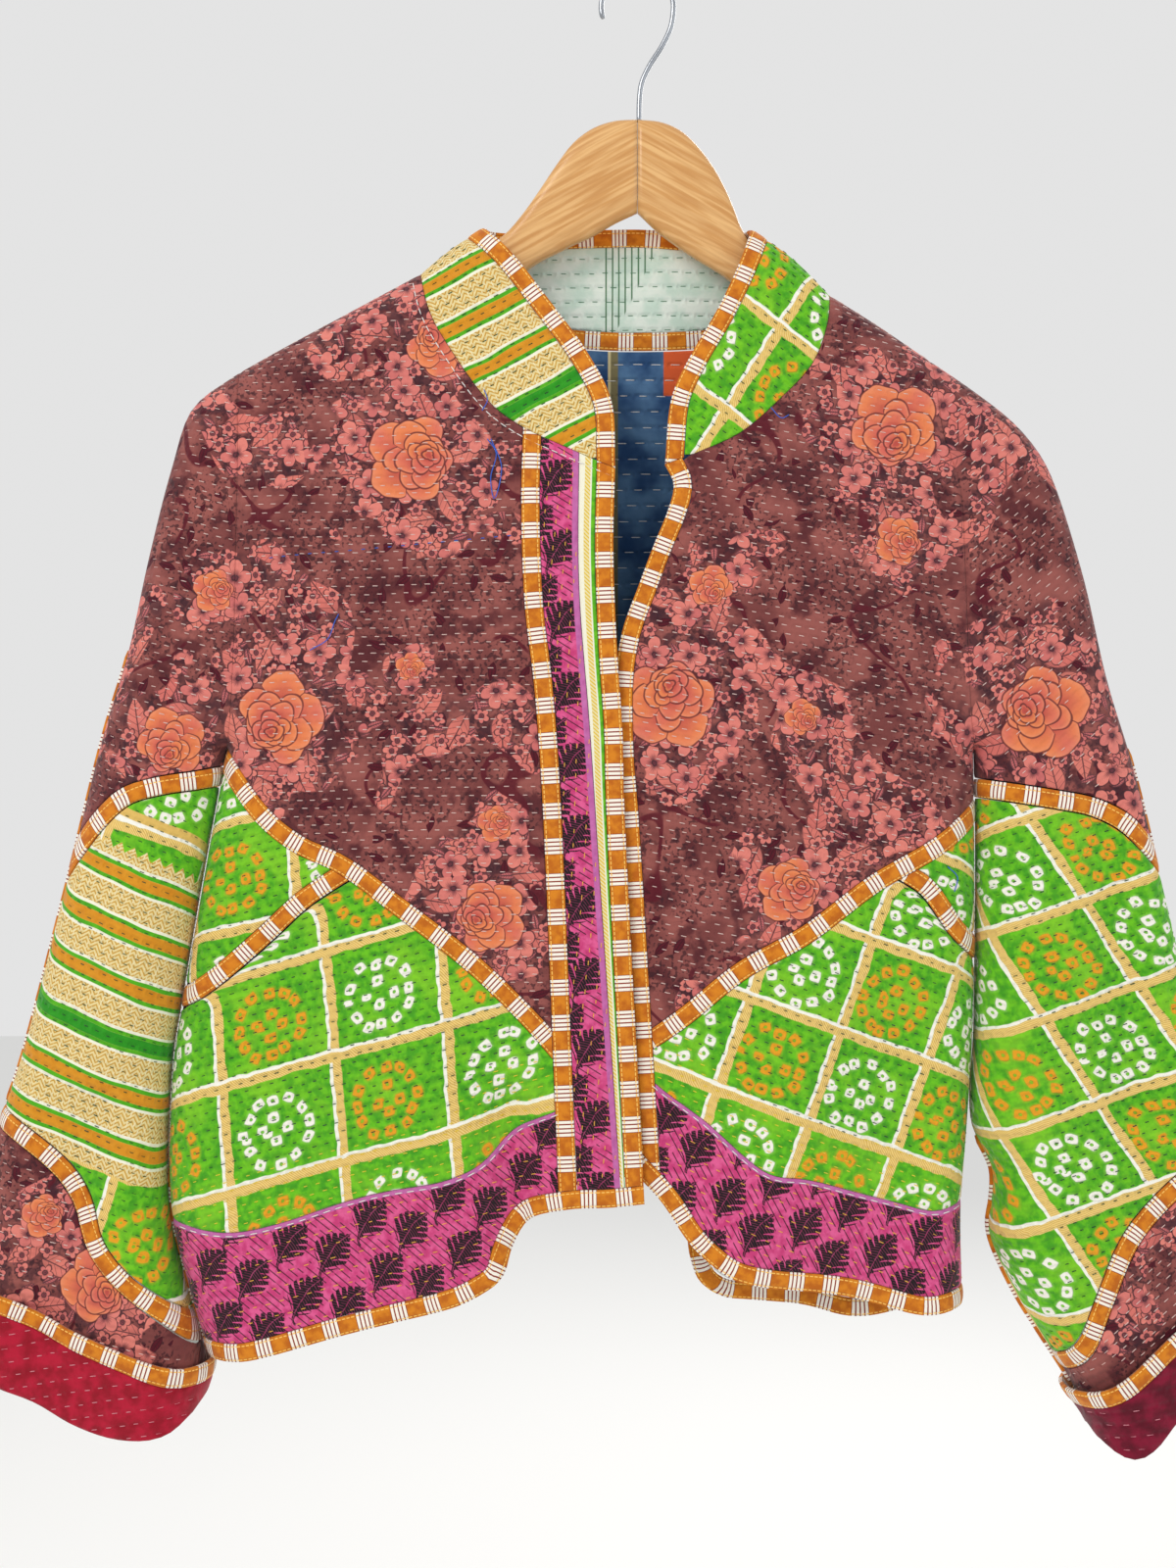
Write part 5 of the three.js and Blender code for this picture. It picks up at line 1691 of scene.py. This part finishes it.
# A round strand through points that float just over the cloth, or in the hanging plane
def addStrand(name, slot, material, points, radius, sides=6, closeEnds=1.0):
    points = np.asarray(points, float)
    along = heading(points)
    side = np.cross(along, (0, 1, 0))
    side /= np.linalg.norm(side, axis=1)[:, None]
    up = np.cross(side, along)
    turn = np.linspace(0, 2 * math.pi, sides, endpoint=False)
    size = np.full(len(points), radius)
    size[[0, -1]] *= closeEnds
    ring = side[:, None] * np.cos(turn)[None, :, None] + up[:, None] * np.sin(turn)[None, :, None]
    ring = points[:, None] + ring * size[:, None, None]
    mesh = bpy.data.meshes.new(name)
    mesh.from_pydata(ring.reshape(-1, 3) * metre, [], tubeFaces(len(points), sides))
    across = 1.9 + 3.2 * np.arange(sides) / sides
    spots = np.stack(np.broadcast_arrays(reachAlong(points)[:, None], across), -1)
    keepPlaces(mesh, spots.reshape(-1, 2), "POINT")
    return link(name, mesh, slot, material)


# Loose ends of quilting thread, by places on the front
looseThreads = {
    "loose_thread_neck": [[-84, -268], [-79, -276], [-82, -290], [-80, -302], [-76, -284], [-82, -268]],
    "loose_thread_shoulder": [[-86, -240], [-84, -246], [-87, -252]],
    "loose_thread_leaf": [[-182, -386], [-172, -380], [-168, -370], [-166, -366]],
    "loose_thread_left_shoulder": [[74, -250], [80, -256], [84, -254]],
    "loose_thread_left_sleeve": [[172, -506], [178, -512], [176, -520]],
}
for name, places in looseThreads.items():
    places = smooth(places, 2).points
    at, out = clothPoints(places, front, bodyField, False, 0.9)
    addStrand(name, "thread", threads["blue"], at, 0.28)


# Thin seam binding that shows along the outlines of the sleeves and side
def addPiping(name, line, top, bottom):
    points = line.points
    kept = points[(points[:, 1] < top) & (points[:, 1] > bottom)]
    path = Line(kept)
    places = path.at(np.linspace(0, path.length, max(8, round(path.length / 4))))
    addStrand(name, striped, binding, np.insert(places, 1, 0, axis=1), 1.7, 8, 0.6)


addPiping("sleeve_piping_right", right["sleeveOuter"], -383, -642)
addPiping("sleeve_piping_left", left["sleeveOuter"], -436, -500)
addPiping("sleeve_inner_piping_left", left["sleeveInner"], -655, -800)
addPiping("side_piping_right", right["side"], -678, -780)
print("seams and loose threads")


# Hanger: x, top and bottom of each arm's section
arms = {
    "right": [
        (-0.15, -83.2, -136), (-13, -84, -142), (-25, -88, -149), (-36, -96, -154), (-46, -109, -159),
        (-56, -124, -164), (-66, -138, -171), (-76, -149, -178), (-100, -165, -192), (-123, -180, -208),
        (-162, -201, -229), (-201, -222, -250), (-213, -231, -252), (-218, -238, -248),
    ],
    "left": [
        (0.15, -83.2, -136), (13, -84.5, -148), (24, -89, -156), (33, -97, -162), (43, -110, -168),
        (52, -127, -174), (60, -147, -182), (70, -161, -189), (88, -175, -204), (109, -192, -221),
        (136, -208.5, -238), (167, -229.5, -259), (193, -248, -272), (203, -257, -274), (206, -262, -271),
    ],
}
armShape = {"thickness": 13, "sides": 32, "soft": 0.62, "spacing": 3}


def mapleFinish():
    finish = Finish("maple")
    along, across, _ = finish.places().parts()
    stretched = finish.vector(along / 14, across)
    grain = finish.noise(stretched, 3.0, 4.0).rise(0.35, 0.65)
    rings = abs((finish.noise(finish.vector(along / 40, across / 2), 6.0, 1.0) * 9) % 1 - 0.5).rise(0.1, 0.4)
    colour = finish.blend(tint(206, 150, 86), tint(228, 180, 118), grain)
    colour = finish.blend(colour, tint(188, 130, 70), (1 - rings) * 0.3)
    finish.shader.inputs["Coat Weight"].default_value = 0.45
    finish.shader.inputs["Coat Roughness"].default_value = 0.18
    return finish.wear(colour, grain * 0.04, 0.42, 0.0)


def addArm(node, rows, material):
    rows = np.array(rows, float)
    reach = abs(rows[:, 0])
    xs = np.linspace(reach[0], reach[-1], round(reach[-1] / armShape["spacing"]))

    def curve(column):
        line = smooth(np.stack([reach, rows[:, column]], 1), 2).points
        return np.interp(xs, line[:, 0], line[:, 1])

    top, bottom = curve(1), curve(2)
    # The tip is rounded off over its last few millimetres
    close = np.sqrt(np.clip(1 - ((xs - xs[-1] + 6) / 7.2).clip(0) ** 2, 0.1, 1))
    turn = np.linspace(0, 2 * math.pi, armShape["sides"], endpoint=False)

    def soft(value):
        return np.sign(value) * np.abs(value) ** armShape["soft"]

    y = armShape["thickness"] / 2 * soft(np.cos(turn))[None] * close[:, None]
    middle, half = (top + bottom) / 2, (top - bottom) / 2
    z = middle[:, None] + (half * close)[:, None] * soft(np.sin(turn))[None]
    x = np.broadcast_to(xs[:, None] * np.sign(rows[-1, 0]), z.shape)
    points = np.stack([x, y, z], -1).reshape(-1, 3)
    faces = tubeFaces(len(xs), armShape["sides"])
    if rows[-1, 0] < 0:
        faces = [face[::-1] for face in faces]
    mesh = bpy.data.meshes.new(f"{node}_wood")
    mesh.from_pydata(points * metre, [], faces)
    spots = np.stack([points[:, 0] * 1.15, points[:, 2] + abs(points[:, 0]) * 0.55 + points[:, 1]], 1)
    keepPlaces(mesh, spots, "POINT")
    piece = link(f"{node}_wood", mesh, "maple", material)
    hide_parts(node)
    mesh.polygons.foreach_set("use_smooth", [len(face) == 4 for face in faces])


maple = mapleFinish()
for side, rows in arms.items():
    addArm(f"hanger_arm_{side}", rows, maple)


# The hook rises from the middle and turns over to an open end
def addHook():
    shank = [[1, -84.5], [1.2, -72], [2.5, -62], [7, -52], [14, -41], [19, -30]]
    radius, middle = 20.5, -19
    turns = [math.radians(degrees) for degrees in range(0, 204, 9)]
    path = shank + [[radius * math.cos(a), middle + radius * math.sin(a)] for a in turns]
    points = np.insert(smooth(path, 1.5).points, 1, 0, axis=1)
    steel = Finish("steelWire")
    steel.shader.inputs["Metallic"].default_value = 1.0
    material = steel.wear((0.34, 0.36, 0.39, 1), None, 0.24, 0.0)
    steel.shader.inputs["Specular IOR Level"].default_value = 0.5
    piece = addStrand("hook_wire", "wire", material, points, 1.5, 16, 0.7)
    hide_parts("hook")


addHook()
print("hanger")
